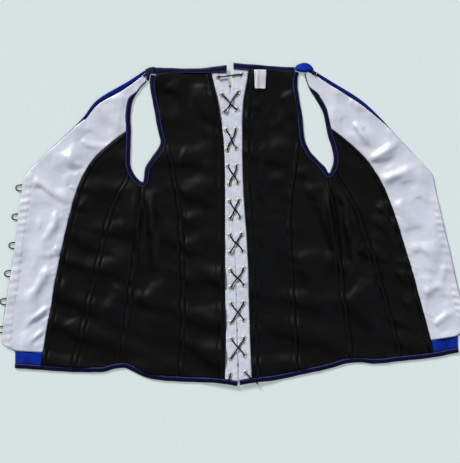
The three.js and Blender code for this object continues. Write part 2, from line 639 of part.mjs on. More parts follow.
const STRIP_STEPS = 12;
const PANEL_NAMES = { a: "side_front", b: "side_panel", c: "side_back" };
const LUMP_COLUMNS = ["inset", "up"];
const LUMP = [[0, 0], [0, 0.55], [0.22, 0.88], [0.55, 1]];

// Builds one half, and returns its front edge
function buildHalf(half) {
  const grids = halfGrids(half);
  const { arm, lower, back, foot, neckE } = grids;
  const floor = (p) => height(half, p.x, p.y);
  for (const seam of ["a", "b", "c"]) {
    const grid = setIn(lower[seam], SEAM_INSET, SEAM_INSET);
    add(`${PANEL_NAMES[seam]}_${half.name}`, slab(grid, floor, (p) => floor(p) + PANEL_WALL), COLOURS.lining);
    channelOn(half, `bone_channel_${seam}_${half.name}`, grid, 0, 0, LOWER_ROWS, PANEL_WALL);
  }
  const backGrid = setIn(back, SEAM_INSET, SEAM_INSET);
  add(`back_panel_${half.name}`, slab(backGrid, floor, (p) => floor(p) + PANEL_WALL), COLOURS.lining);
  channelOn(half, `bone_channel_d_${half.name}`, backGrid, 0, 0, LOWER_ROWS, PANEL_WALL);
  const lastRow = backGrid.length - 1;
  channelOn(half, `bone_channel_e_${half.name}`, backGrid, backGrid[0].length - 3, 0, lastRow, PANEL_WALL);

  const front = setIn(frontGrid(half, grids), 0, SEAM_INSET);
  add(`front_shell_${half.name}`, slab(front, floor, (p) => floor(p) + SHELL_WALL), COLOURS.velvet);
  const facing = front.slice(2).map((row) => row.slice(1));
  const facingBase = (p) => floor(p) + SHELL_WALL + GAP;
  add(`front_facing_${half.name}`, slab(facing, facingBase, (p) => facingBase(p) + FACING_WALL), COLOURS.facing);

  // The lacing strip shares the back panel's last seam
  const inner = backGrid.map((row) => row[row.length - 1]);
  const side = half === LEFT ? 1 : -1;
  const seamSide = inner.map((p) => new THREE.Vector2(p.x + side * 2 * SEAM_INSET, p.y));
  const neckCb = new THREE.Vector2(seamX(half, "cb", neckE.y), tableValue(half.neck, 0));
  const freeSide = [];
  for (let k = 0; k <= STRIP_STEPS; k += 1) {
    freeSide.push(seamPoint(half, "cb", lerp(neckCb.y, foot.cb.y, k / STRIP_STEPS)));
  }
  const centres = EYELETS.map((row) => {
    const eyelet = named(row, EYELET_COLUMNS);
    return half === LEFT ? { x: eyelet.leftX, y: eyelet.leftY } : { x: eyelet.rightX, y: eyelet.rightY };
  });
  add(`lacing_strip_${half.name}`, stripOf(half, [...seamSide, ...freeSide], centres), COLOURS.facing);

  // Hem binding: front tab, panels, strip
  const hemEdge = [
    ...front[0], ...setIn(lower.a, SEAM_INSET, SEAM_INSET)[0].slice(1), ...lower.b[0].slice(1),
    ...lower.c[0].slice(1), ...back[0].slice(1), foot.cb,
  ];
  const down = half === LEFT ? 1 : -1;
  const hemWidths = hemEdge.map(() => BINDING_WIDTH);
  add(`hem_binding_${half.name}`, bindingOf(half, hemEdge, normalsOf(hemEdge, down), hemWidths),
    COLOURS.binding);

  // Armhole binding: free edge inwards of the panels' edge
  const frontUp = front.slice(LOWER_ROWS + 2).map((row) => row[row.length - 1]).reverse();
  const ring = [
    ...frontUp, ...lower.a[LOWER_ROWS], ...lower.b[LOWER_ROWS].slice(1), ...lower.c[LOWER_ROWS].slice(1),
    ...back.slice(LOWER_ROWS + 1).map((row) => row[0]),
  ];
  const places = ring.map((p) => nearestIndex(arm.edge, p));
  const inwards = places.map((i) => arm.outward[i].clone().negate());
  const ringWidths = places.map((i) => arm.width[i]);
  add(`armhole_binding_${half.name}`, bindingOf(half, ring, inwards, ringWidths), COLOURS.binding);

  // Neck binding: between the panel's top edge and its own outer edge
  const neckRow = [...back[back.length - 1], neckCb];
  const outerAt = (p) => new THREE.Vector2(p.x, tableValue(half.neckOuter, p.x));
  const rings = neckRow.map((p) => {
    const outer = outerAt(p);
    const base = floor(p);
    return BINDING_SECTION.map((row) => {
      const { out, up } = named(row, BINDING_SECTION_COLUMNS);
      const y = lerp(p.y + GAP, outer.y, out);
      return new THREE.Vector3(p.x, y, base + up * BINDING_HEIGHT);
    });
  });
  add(`neck_binding_${half.name}`, loft(rings), COLOURS.binding);

  // Shoulder fold: a soft lump with a rounded top
  const outline = toPoints(half.shoulder);
  const middle = outline.reduce((sum, p) => sum.add(p), new THREE.Vector2()).divideScalar(outline.length);
  const lump = LUMP.map((row) => {
    const { inset, up } = named(row, LUMP_COLUMNS);
    return outline.map((p) => {
      const q = mix(p, middle, inset);
      return new THREE.Vector3(q.x, q.y, up * SHOULDER_RISE);
    });
  });
  add(`shoulder_fold_${half.name}`, loft(lump), COLOURS.velvet);
  return front.map((row) => row[0]);
}

const leftFrontEdge = buildHalf(LEFT);
buildHalf(RIGHT);

// Blank care label under the right neck binding
const LABEL_LEFT = 34;
const LABEL_RIGHT = 53.5;
const LABEL_TOP = 245.6;
const LABEL_FOOT = 216.8;
const LABEL_TAPER = 1.4;
const LABEL_ROWS = [0, 0.5, 1];
const LABEL_COLUMNS = [0, 0.3, 1];
const labelGrid = LABEL_ROWS.map((v) => LABEL_COLUMNS.map((u) => new THREE.Vector2(
  lerp(LABEL_LEFT + LABEL_TAPER * (1 - v), LABEL_RIGHT - LABEL_TAPER * (1 - v), u),
  lerp(LABEL_FOOT, LABEL_TOP, v),
)));
// Its left edge lies on the bone channel, and its right edge on the panel
const LABEL_ON_CHANNEL = GAP + CHANNEL_RISE + 2 * GAP;
const LABEL_ON_PANEL = 0.9;
const labelBase = (p, i, j) => height(RIGHT, p.x, p.y) + PANEL_WALL
  + (j < LABEL_COLUMNS.length - 1 ? LABEL_ON_CHANNEL : LABEL_ON_PANEL);
add("care_label", slab(labelGrid, labelBase, (p, i, j) => labelBase(p, i, j) + LABEL_WALL), COLOURS.label);

// Wire loops: each leg ends at the front edge, half way up the shell and the facing
const LOOP_STEPS = 8;
const LOOP_SIDES = 6;
const LOOP_SQUARENESS = 0.75;
const LOOP_CLEARANCE = 0.22;
function frontEdgeX(y) {
  const i = leftFrontEdge.findIndex((p) => p.y > y);
  const [low, high] = [leftFrontEdge[i - 1], leftFrontEdge[i]];
  return lerp(low.x, high.x, (y - low.y) / (high.y - low.y));
}
LOOP_HEIGHTS.forEach((y, index) => {
  const points = [];
  for (let k = 0; k <= LOOP_STEPS; k += 1) {
    const angle = Math.PI * (k / LOOP_STEPS - 0.5);
    const reach = LOOP_REACH * Math.cos(angle) ** LOOP_SQUARENESS;
    const across = (LOOP_WIDTH / 2) * Math.sign(Math.sin(angle)) * Math.abs(Math.sin(angle)) ** LOOP_SQUARENESS;
    const edgeX = frontEdgeX(y + across) - LOOP_CLEARANCE;
    const z = height(LEFT, edgeX, y) + (SHELL_WALL + GAP + FACING_WALL) / 2;
    points.push(new THREE.Vector3(edgeX - reach, y + across, z));
  }
  add(`eye_loop_${index + 1}`, tube(points, LOOP_WIRE_RADIUS, LOOP_SIDES), COLOURS.wire);
});

// The lace: one cord from its left free end up one side of the crossings and down the other
const LACE_LIFT = 0.25;
const LIP_REACH = 0.8;
const LACE_FLOOR = LACE_RADIUS + 0.05;
const LACE_CROSSING = 2 * LACE_RADIUS + 0.12;
// The free ends from the lowest eyelets: offsets in plan, and in height from the top of the hem binding
const FREE_END_COLUMNS = ["dx", "dy", "dz"];
const LEFT_FREE_END = [[-3.4, -12, -0.4], [-2.6, -7, 0]];
const RIGHT_FREE_END = [[6, -5.5, 0], [12, -11, 0], [17, -14.6, 0], [20.4, -18.4, -1.4]];
function lacePath() {
  const rows = EYELETS.map((row) => named(row, EYELET_COLUMNS));
  const eyelet = (side, k) => (side === "left"
    ? new THREE.Vector2(rows[k].leftX, rows[k].leftY)
    : new THREE.Vector2(rows[k].rightX, rows[k].rightY));
  const stripTop = (side, y) => STRIP_FLOOR + STRIP_WALL
    + (side === "right" ? STRIP_OVERLAP_LIFT * stripLift(y) : 0);
  const topLevel = (y) => stripTop("right", y) + EYELET_RISE + LACE_LIFT + LACE_RADIUS;
  const inHole = (side, k) => {
    const p = eyelet(side, k);
    return new THREE.Vector3(p.x, p.y, stripTop(side, p.y) - STRIP_WALL / 2);
  };
  const points = [];
  // One stretch from the eyelet that the last point is in to the next one
  const stretch = (from, to, above, crossing) => {
    const [a, b] = [eyelet(...from), eyelet(...to)];
    const along = b.clone().sub(a).normalize();
    const lipA = a.clone().addScaledVector(along, LIP_REACH);
    const lipB = b.clone().addScaledVector(along, -LIP_REACH);
    const middle = mix(a, b, 0.5);
    const level = (p) => (above ? topLevel(p.y) : LACE_FLOOR);
    const shift = crossing * LACE_CROSSING;
    points.push(new THREE.Vector3(lipA.x, lipA.y, level(lipA)));
    points.push(new THREE.Vector3(middle.x, middle.y, level(middle) + shift));
    points.push(new THREE.Vector3(lipB.x, lipB.y, level(lipB)));
    points.push(inHole(...to));
  };
  const last = rows.length - 1;
  // Left free end lies down over the hem
  const leftEnd = eyelet("left", last);
  const hemTop = STRIP_FLOOR + BINDING_HEIGHT + LACE_LIFT + LACE_RADIUS;
  const freeEnd = (from, table) => table.map((row) => {
    const { dx, dy, dz } = named(row, FREE_END_COLUMNS);
    return new THREE.Vector3(from.x + dx, from.y + dy, hemTop + dz);
  });
  points.push(...freeEnd(leftEnd, LEFT_FREE_END));
  points.push(new THREE.Vector3(leftEnd.x - 0.3, leftEnd.y - 1.6, topLevel(leftEnd.y)));
  points.push(inHole("left", last));
  let side = "left";
  for (let k = last; k > 0; k -= 1) {
    const next = side === "left" ? "right" : "left";
    const above = k % 2 === 0;
    stretch([side, k], [next, k - 1], above, side === "left" ? 1 : 0);
    side = next;
  }
  const barFrom = side;
  side = side === "left" ? "right" : "left";
  stretch([barFrom, 0], [side, 0], true, 0);
  for (let k = 0; k < last; k += 1) {
    const next = side === "left" ? "right" : "left";
    const above = k % 2 === 1;
    stretch([side, k], [next, k + 1], above, side === "left" ? 0 : 1);
    side = next;
  }
  // Right free end runs out over the hem binding to the right
  const rightEnd = eyelet("right", last);
  points.push(new THREE.Vector3(rightEnd.x + 0.8, rightEnd.y - 0.6, topLevel(rightEnd.y)));
  points.push(...freeEnd(rightEnd, RIGHT_FREE_END));
  return points;
}
add("lace", tube(lacePath(), LACE_RADIUS, LACE_SIDES), COLOURS.lace);

// The tables were measured from a point beside the garment's middle, where its origin lies
group.position.set(-CENTRE_X, -CENTRE_Y, 0);

export default group;
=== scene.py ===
"""Boned waistcoat laid open flat, lining up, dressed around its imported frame.

Table sizes are millimetres in the garment's own plan: +Y towards the neck, +Z up from the surface.
"""
import math

import bmesh
import bpy
import numpy as np
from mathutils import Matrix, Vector


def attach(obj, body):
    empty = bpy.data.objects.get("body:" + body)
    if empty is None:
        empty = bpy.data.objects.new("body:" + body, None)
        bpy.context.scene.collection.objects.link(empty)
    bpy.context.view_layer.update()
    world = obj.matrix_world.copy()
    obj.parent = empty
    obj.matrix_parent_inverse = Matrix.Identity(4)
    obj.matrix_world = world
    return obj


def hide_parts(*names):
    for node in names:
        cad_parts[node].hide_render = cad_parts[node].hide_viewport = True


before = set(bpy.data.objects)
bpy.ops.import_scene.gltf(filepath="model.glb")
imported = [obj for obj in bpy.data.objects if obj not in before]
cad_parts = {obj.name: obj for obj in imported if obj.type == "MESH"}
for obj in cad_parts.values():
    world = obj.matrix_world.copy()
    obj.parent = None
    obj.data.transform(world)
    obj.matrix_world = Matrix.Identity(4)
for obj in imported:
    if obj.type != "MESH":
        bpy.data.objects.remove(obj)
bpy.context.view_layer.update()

# Driving sizes
CENTRE_X = 1.12
CENTRE_Y = 0.12
PANEL_WALL = 2.2
SHELL_WALL = 1.5
FACING_WALL = 1.0
STRIP_WALL = 1.5
GAP = 0.3
CHANNEL_WIDTH = 8
BINDING_WIDTH = 7.2
LACE_RADIUS = 0.85
LACE_SHOWN_RADIUS = 1.14
STRIP_FLOOR = 3.7
STRIP_OVERLAP_LIFT = 2.2
EYELET_RISE = 0.4
LOOP_SHOWN_RADIUS = 0.96
LOOP_REACH = 9.2
LOOP_WIDTH = 9.6
SHOULDER_RISE = 6

# Factors on the tables below: the lining's creases in depth and width, the facing's creases, the folds
LINING_DEPTH = 3.9
CREASE_WIDEN = 1.9
FACING_DEPTH = 3.7
FOLD_SHARE = 0.85

# Height of the facing's upper side over the cloth's underside
FACING_TOP = SHELL_WALL + GAP + FACING_WALL

# Width and length of the flat cloth of each piece that has one size on both halves
SHELL_CUT = (172, 500)
FACING_CUT = (168, 478)
BACK_CUT = (116, 500)
STRIP_CUT = (25, 502)
LABEL_CUT = (19.5, 30)
CHANNEL_CUT_WIDTH = CHANNEL_WIDTH + 2.2
BINDING_CUT_WIDTH = 12.5
NECK_BINDING_CUT_WIDTH = 13.5
# Allowances on a measured width, on a measured length and on a tape's length
WIDTH_ALLOWANCE = 1.02
LENGTH_ALLOWANCE = 1.08
TAPE_ALLOWANCE = 1.01

# Steps along the armhole and the seams, and the height where the back panel's two surfaces meet
FINE_STEPS = 160
SPLIT_Y = 121

# Heights between which the right lacing strip comes to lie over the left one
OVERLAP_START = -135
OVERLAP_RUN = 60
# How far from the strip the cloth starts to come down, and over what width
STRIP_SLOPE_START = 3
STRIP_SLOPE_RUN = 46
# How far a large fold reaches past its ends, and over what length it fades
FOLD_TAIL = 14
FOLD_RUN = 46

# Camera: straight above, with the view's size on the surface
VIEW_HEIGHT = 741.0
VIEW_X = -4.4 - CENTRE_X
VIEW_Y = -11.2 - CENTRE_Y
CAMERA_RISE = 2.4
SENSOR = 36.0

camera_data = bpy.data.cameras.new("camera")
camera_data.sensor_width = SENSOR
camera_data.lens = SENSOR * CAMERA_RISE * 1000 / VIEW_HEIGHT
camera = bpy.data.objects.new("camera", camera_data)
camera.location = (VIEW_X / 1000, VIEW_Y / 1000, CAMERA_RISE)
bpy.context.scene.collection.objects.link(camera)
bpy.context.scene.camera = camera

# Seam lines of each half: x at a height y, from the front edge to the free lacing edge
SEAM_COLUMNS = ["y", "front", "a", "b", "c", "d", "e", "cb"]
LEFT_SEAMS = [
    [-250, -371, -311.5, -263, -187, -87, -12.4, 8.3],
    [-200, -370, -303.5, -252.3, -180.1, -85.5, -11.1, 7.2],
    [-160, -367.5, -296, -242.3, -174.8, -84.4, -10.7, 6.4],
    [-120, -362.3, -288.7, -233.1, -169.4, -83.6, -11.8, 5.7],
    [-80, -355.8, -282, -223.2, -164.3, -84, -11.9, 5.1],
    [-40, -349.5, -273.7, -214.1, -159.2, -84.9, -12.1, 4.6],
    [-10, -345.7, -267, -207.1, -156, -86, -12.1, 4.2],
    [20, -342.9, -259.7, -198.6, -153.6, -88.8, -12.1, 3.8],
    [45, -338.9, -252.7, -188.5, -152, -92.1, -12.1, 3.6],
    [65, -336.3, -245.6, -176.7, -151, -96, -12.2, 3.6],
    [80, -330.1, -238.9, -170, -151, -99.4, -12.3, 3.6],
    [110, -302.1, -218.7, -170, -151, -107, -13.1, 3.3],
    [140, -270.5, -185.7, -170, -151, -112, -15.1, 2.4],
    [170, -240.3, -145, -170, -151, -112, -18.9, 0.9],
    [200, -215.7, -140, -170, -151, -112, -24.1, -2.4],
    [230, -165.7, -140, -170, -151, -112, -31.1, -6.9],
    [247, -140, -140, -170, -151, -112, -35, -10.5],
]
RIGHT_SEAMS = [
    [-250, 394, 327, 282, 196, 105, 30.6, 10.4],
    [-200, 384.5, 319.9, 269, 192.4, 103.5, 28.2, 8.9],
    [-160, 374.8, 310.7, 258.5, 186.9, 101.8, 26.9, 7.7],
    [-120, 365.4, 299.5, 247.1, 181.4, 99.8, 25.7, 6.5],
    [-80, 355.8, 288.7, 235.9, 176.8, 97.5, 25, 5.5],
    [-40, 347.1, 277, 224.6, 173.5, 95.5, 23.1, 3.6],
    [-10, 339.7, 267.8, 213.6, 171.9, 94.1, 21.4, 2.1],
    [20, 332.5, 257.9, 202.8, 168.7, 94.3, 19.1, -0.1],
    [45, 326.9, 248.5, 192.3, 165, 95.9, 17.4, -1.9],
    [65, 323.1, 239.3, 181.5, 161.7, 99.1, 16.4, -3],
    [80, 319.2, 231.1, 172, 159.6, 100.9, 15.8, -4],
    [110, 292.1, 209.5, 170, 159, 106.7, 15.2, -5.7],
    [140, 263.8, 177.7, 170, 159, 112, 15.2, -6.2],
    [170, 236.8, 140, 170, 159, 112, 15.4, -5.8],
    [200, 204, 130, 170, 159, 112, 17.2, -4.4],
    [230, 156, 130, 170, 159, 112, 23, -1.5],
    [247, 128, 130, 170, 159, 112, 25, 1],
]

# Panel edge along the hem, and the facing's lower edge, from the front inwards
LEFT_HEM = [
    [-348, -222.5], [-307.8, -225.2], [-262, -228.4], [-225, -229], [-205, -228], [-190, -223.5],
    [-172, -222.2], [-156, -228.5], [-137, -237.5], [-112, -242], [-70, -244.5], [-25, -246], [10, -251],
]
RIGHT_HEM = [
    [360, -197.2], [322, -205], [290, -209], [265, -211.5], [230, -215.3], [200, -213.2], [178, -215.8],
    [150, -224], [108, -233], [70, -241.3], [30, -245.8], [8, -249.8],
]
LEFT_FACING_HEM = [[-369.8, -189.6], [-362.8, -194.9], [-346.8, -202.1], [-303.8, -204.6]]
RIGHT_FACING_HEM = [[380, -168], [363.6, -174.5], [355.3, -179], [317.3, -184.8]]

# Free edge of the armhole binding, from the front shoulder down, round and up the back
LEFT_ARMHOLE = [
    [-137.5, 228.5], [-143.5, 222.5], [-151.5, 212.5], [-159.5, 198], [-163.2, 177], [-162.6, 148],
    [-163.4, 118], [-163.4, 96], [-158.8, 82.5], [-150.5, 72.2], [-143.6, 68.2], [-142.4, 75],
    [-139.5, 92], [-130, 107], [-119.5, 122], [-115.6, 131], [-118.5, 145], [-122, 162],
    [-125.8, 184], [-130, 206], [-132.6, 222], [-132.4, 231], [-130.6, 239.6],
]
RIGHT_ARMHOLE = [
    [114.8, 241.5], [117, 231], [122.5, 217], [132, 201], [142.5, 183], [148, 163], [151.2, 145],
    [156.5, 128], [160.5, 112], [160.5, 98], [157, 87.5], [154, 82.2], [147.5, 92], [136.5, 103],
    [125.5, 115], [118, 128], [114.2, 142], [112.4, 165], [108.8, 188], [105.4, 208],
    [103.8, 222], [104, 234], [106.4, 242.6],
]
ROLLED_SHARE = 0.18
LEFT_CORNERS = {"a": [-162.8, 150], "b": [-161.8, 88.5], "c": [-146.2, 69.4], "d": [-115.6, 130]}
RIGHT_CORNERS = {"a": [149.8, 152], "b": [159, 91], "c": [154, 82.2], "d": [116, 134]}

# Height of the facing's outer edge against the height on its inner edge
LEFT_FRONT_ROWS = [[-204.6, -190], [40, 62], [120, 163], [152, 194], [200, 225], [229, 246.5]]
RIGHT_FRONT_ROWS = [[-184.8, -168], [40, 66], [120, 158], [152, 190], [200, 218], [238, 246]]
# Width of the shell's edge that shows beyond the facing, against height
LEFT_SLIVER = [[-190, 0.8], [150, 0.8], [180, 5], [215, 8.5], [236, 7], [250, 4.5]]
RIGHT_SLIVER = [[-170, 0.8], [150, 0.8], [175, 4], [200, 7], [232, 7], [250, 4]]

# Top edge of the back panel, from the shoulder to the lacing, and its binding's outer edge
LEFT_NECK = [[-123, 240.5], [-100, 243.4], [-76, 242.6], [-50, 242.2], [-8, 243.6]]
LEFT_NECK_OUTER = [[-126, 251.2], [-100, 250.4], [-76, 249.6], [-50, 249.8], [-12.5, 254.4]]
RIGHT_NECK = [[99.3, 245], [74, 246.6], [50, 246.8], [24, 247.4], [1, 248.6]]
RIGHT_NECK_OUTER = [[99.5, 251.6], [74, 252.6], [50, 254.2], [24, 256], [2, 257.8]]

# Blue folds of the shell at the two shoulder seams, as outlines seen from above
LEFT_SHOULDER = [
    [-137.7, 231], [-139.7, 247.2], [-134, 250.4], [-128, 251.8], [-123.9, 251.2], [-123.9, 241.2],
    [-131.3, 240.6], [-133.4, 232.5], [-135.6, 229.8],
]
RIGHT_SHOULDER = [
    [99.8, 246.6], [100.3, 252.2], [106, 256.5], [116.4, 258.4], [125, 254.6], [129, 247.1],
    [117.8, 243.6], [113.8, 243.2], [107, 244.2],
]

# Eyelet centres, one pair a row from the neck down: leftX, leftY, rightX, rightY
EYELETS = [
    [-23.6, 235.2, 14.8, 239.2], [-17.2, 207.2, 9.2, 211.2], [-13.2, 180, 6.8, 183.2],
    [-10.4, 150.6, 5, 151.7], [-8.8, 118.7, 6, 121.3], [-7.4, 93.4, 6.6, 93.4],
    [-5.4, 63.8, 8.4, 66.4], [-4.6, 36.8, 10.2, 38.2], [-4.3, 9.9, 12, 10.7],
    [-4.1, -17.4, 14.3, -15.7], [-4.4, -45, 16.2, -43.2], [-3.3, -73.4, 17.7, -70.2],
    [-3, -101, 17.8, -96.3], [-2.4, -126.7, 17.8, -125.3], [-2.4, -156.6, 18.2, -152.8],
    [-1.5, -183.7, 18.6, -181.6], [-3.2, -214.1, 19.2, -209], [-3.8, -240, 20.4, -237],
]
LOOP_HEIGHTS = [58.6, 12.2, -33.4, -78.4, -123.2, -168]

# Large soft folds that lift the cloth off the surface: x0, y0, x1, y1, height, width
LEFT_FOLDS = [
    [-153, 46, -151, -52, 8, 8], [-129, 44, -129, -62, 7.5, 8], [-330, -150, -292, 30, 3, 17],
    [-225, 168, -188, 190, 4.5, 15], [-300, 88, -238, 118, 3.5, 13], [-318, 50, -262, 40, 2.5, 12],
]
RIGHT_FOLDS = [
    [153, 52, 166, -62, 8, 8], [179, 40, 192, -62, 7, 8], [196, 160, 238, 122, 5, 12],
    [222, 96, 268, 138, 3.5, 13], [245, 64, 305, 92, 3, 14], [300, -120, 322, 20, 2.5, 16],
]

# Creases of the black lining: line of points, height of the ridge or depth of the trough, width
LEFT_CREASES = [
    [[(-147, 62), (-147, 36), (-145.6, 6), (-142.8, -17), (-142.8, -39), (-147, -62), (-151.6, -76)],
     -0.9, 4.0],
    [[(-146, -70), (-144, -86), (-141, -102), (-146, -124)], -0.8, 4.0],
    [[(-137, 58), (-131, 40), (-124, 4), (-112, -26), (-98, -44)], 0.85, 9.0],
    [[(-113, 52), (-110, 14), (-106, -14)], -0.5, 7.0],
    [[(-166, 62), (-166, 24), (-165, -30)], 1.15, 4.6],
    [[(-158, -112), (-132, -118), (-96, -134)], 0.75, 8.0],
    [[(-150, -92), (-126, -84), (-104, -68)], -0.7, 7.0],
    [[(-175, -92), (-192, -122), (-217, -166)], 0.7, 8.0],
    [[(-190, -96), (-206, -128), (-232, -170)], -0.55, 7.0],
    [[(-98, 230), (-88, 206), (-73, 180)], 0.75, 7.0],
    [[(-108, 214), (-102, 188), (-88, 166)], -0.7, 7.0],
    [[(-52, 228), (-56, 204), (-60, 170)], 0.7, 7.0],
    [[(-38, 216), (-42, 188), (-52, 160)], 0.55, 6.0],
    [[(-68, 232), (-70, 206), (-66, 184)], -0.7, 6.0],
    [[(-104, 148), (-84, 134), (-58, 140), (-36, 158)], -0.6, 8.0],
    [[(-86, 112), (-70, 107), (-46, 100)], 0.7, 8.0],
    [[(-88, 82), (-66, 84), (-40, 96)], -0.6, 7.0],
    [[(-83, 44), (-62, 50), (-38, 60)], 0.75, 6.5],
    [[(-82, 26), (-62, 30), (-40, 40)], -0.6, 6.0],
    [[(-81, 2), (-64, 8), (-42, 16)], 0.7, 6.5],
    [[(-82, -20), (-62, -14), (-44, -10)], -0.55, 6.0],
    [[(-81, -42), (-66, -36), (-44, -26)], 0.65, 6.5],
    [[(-80, -92), (-62, -86), (-42, -78)], 0.55, 7.0],
    [[(-62, -130), (-54, -168), (-60, -214)], 0.55, 9.0],
    [[(-250, 32), (-234, 18), (-226, -8)], 0.7, 8.0],
    [[(-248, -38), (-230, -34), (-210, -28)], 0.6, 6.5],
    [[(-270, -64), (-252, -60), (-232, -56)], 0.6, 6.0],
    [[(-266, -78), (-250, -74), (-232, -70)], -0.5, 5.5],
    [[(-274, -96), (-258, -92), (-242, -86)], 0.55, 6.0],
    [[(-280, -130), (-262, -124), (-246, -118)], 0.55, 6.0],
    [[(-262, -150), (-250, -170), (-244, -200)], 0.5, 8.0],
]
RIGHT_CREASES = [
    [[(134, 66), (138, 30), (140, -10)], 0.75, 8.5],
    [[(120, 30), (128, -20), (134, -70)], -0.6, 8.0],
    [[(196, -40), (216, -52), (236, -48)], 0.7, 8.0],
    [[(186, -70), (206, -80), (230, -78)], -0.6, 8.0],
    [[(190, -100), (212, -112), (238, -110)], 0.55, 9.0],
    [[(112, 82), (108, 44), (112, 8)], -0.7, 7.0],
    [[(155.6, 68), (162, 36), (166.4, 20), (170.8, -4), (176.8, -26), (181, -36), (182, -62), (181, -88)],
     -0.9, 4.0],
    [[(144, 60), (148, 30), (154, -6), (160, -50), (160, -84)], 1.1, 4.8],
    [[(132, 50), (136, 14), (142, -30)], -0.5, 7.0],
    [[(188, 44), (198, 10), (206, -30), (208, -66)], 0.7, 7.5],
    [[(206, 30), (214, -8), (220, -52)], -0.55, 7.0],
    [[(46, 140), (56, 166), (72, 184), (84, 178), (92, 150)], -0.8, 8.0],
    [[(38, 176), (52, 200), (70, 212), (90, 196)], 0.8, 9.0],
    [[(84, 214), (96, 186), (98, 158)], 0.8, 7.0],
    [[(60, 150), (68, 164), (78, 150)], 0.6, 6.0],
    [[(38, 118), (58, 112), (84, 124), (100, 140)], 0.7, 8.0],
    [[(40, 92), (62, 86), (88, 98)], -0.7, 7.0],
    [[(40, 66), (62, 72), (90, 60)], 0.6, 8.0],
    [[(40, 42), (60, 50), (86, 34)], -0.6, 7.0],
    [[(60, 20), (56, -20), (62, -64)], 0.5, 9.0],
    [[(42, -30), (62, -24), (84, -34)], 0.5, 7.0],
    [[(40, -84), (60, -78), (86, -88)], -0.5, 7.0],
    [[(66, -104), (70, -152), (64, -214)], 0.55, 9.0],
    [[(112, 96), (118, 66), (116, 30)], 0.6, 7.5],
    [[(116, -40), (122, -80), (118, -122)], 0.5, 8.0],
    [[(140, -110), (146, -158), (140, -208)], 0.55, 8.5],
    [[(202, -96), (214, -134), (222, -180)], 0.6, 8.5],
    [[(226, -96), (236, -140), (246, -186)], -0.5, 8.0],
    [[(232, 20), (246, 30), (258, 24)], 0.55, 6.0],
    [[(240, -16), (254, -8), (272, -14)], 0.55, 6.5],
    [[(252, -56), (268, -48), (284, -54)], -0.5, 6.0],
    [[(262, -86), (278, -78), (294, -84)], 0.55, 6.5],
    [[(272, -130), (288, -124), (304, -130)], 0.5, 6.5],
]

# Creases of the white facing, in the same columns
LEFT_FACING_CREASES = [
    [[(-236, 150), (-222, 140), (-203, 134), (-190, 136)], -0.6, 5.0],
    [[(-232, 198), (-224, 172), (-206, 158), (-168, 156)], -0.5, 6.0],
    [[(-222, 206), (-196, 202), (-166, 198)], 0.5, 7.0],
    [[(-244, 136), (-226, 126), (-204, 122)], 0.6, 5.0],
    [[(-238, 92), (-252, 98), (-266, 110), (-282, 118)], 0.7, 4.6],
    [[(-246, 82), (-264, 90), (-278, 104)], -0.6, 4.0],
    [[(-298, 100), (-284, 88), (-268, 82), (-248, 90)], -0.55, 4.6],
    [[(-322, 74), (-302, 62), (-280, 48), (-256, 38)], 0.9, 6.0],
    [[(-318, 60), (-298, 46), (-276, 34), (-258, 30)], -0.75, 5.0],
    [[(-307, 38), (-298, 14), (-304, -10), (-322, -26), (-338, -34)], -0.8, 5.5],
    [[(-286, 26), (-284, 4), (-296, -18), (-314, -34)], 0.75, 6.0],
    [[(-268, 12), (-274, -8), (-286, -26)], -0.5, 6.0],
    [[(-276, -40), (-292, -48), (-312, -52)], 0.55, 6.0],
    [[(-298, -48), (-312, -74), (-330, -100), (-346, -118)], -0.8, 6.5],
    [[(-290, -66), (-306, -92), (-326, -116), (-340, -126)], 0.75, 7.0],
    [[(-288, -98), (-304, -112), (-324, -134)], -0.45, 6.5],
    [[(-292, -130), (-312, -146), (-336, -164)], 0.85, 4.8],
    [[(-294, -142), (-314, -156), (-336, -174)], -0.75, 4.2],
    [[(-298, -164), (-312, -178), (-330, -193)], 0.75, 4.8],
    [[(-302, -178), (-316, -188), (-328, -196)], -0.5, 4.0],
    [[(-262, 62), (-250, 56), (-242, 50)], 0.5, 3.4],
    [[(-286, -36), (-276, -40), (-268, -38)], 0.45, 3.6],
]
RIGHT_FACING_CREASES = [
    [[(190, 164), (204, 148), (218, 130), (230, 118)], 0.8, 7.0],
    [[(176, 172), (190, 154), (206, 134)], -0.7, 5.6],
    [[(206, 156), (222, 138), (240, 124)], -0.5, 6.0],
    [[(216, 100), (238, 114), (262, 130), (276, 142)], 0.75, 6.4],
    [[(214, 88), (238, 94), (266, 108), (288, 122)], -0.7, 5.6],
    [[(236, 68), (262, 80), (290, 92), (306, 100)], 0.75, 6.4],
    [[(246, 54), (274, 60), (304, 70)], -0.55, 6.0],
    [[(262, 40), (276, 16), (294, -4)], 0.6, 8.0],
    [[(296, 46), (300, 20), (314, 2)], -0.55, 7.0],
    [[(276, -20), (298, -12), (316, -26), (326, -44)], -0.5, 7.0],
    [[(282, -40), (302, -38), (320, -54), (332, -72)], 0.6, 7.5],
    [[(292, -76), (312, -78), (330, -94)], -0.5, 6.5],
    [[(340, -62), (334, -88), (322, -110)], 0.45, 7.0],
    [[(304, -112), (326, -100), (350, -104)], 0.5, 6.5],
    [[(312, -142), (332, -122), (354, -118)], -0.5, 5.6],
    [[(320, -164), (340, -146), (360, -142)], 0.6, 5.4],
    [[(330, -176), (348, -164), (364, -162)], -0.4, 4.6],
    [[(184, 200), (204, 190), (226, 186)], 0.5, 7.5],
]

# Stitch line of the front placket on the white facing
LEFT_PLACKET = [
    (-318, 79.2), (-326.5, 28), (-335.1, -36), (-344.9, -112.8), (-351.3, -151.2), (-353.2, -176.8),
    (-357, -192.2),
]
RIGHT_PLACKET = [
    (308.7, 66.4), (315.1, 44), (320.4, 23.2), (327.9, -4), (333.2, -29.6), (344, -78), (354, -124),
    (363, -170),
]

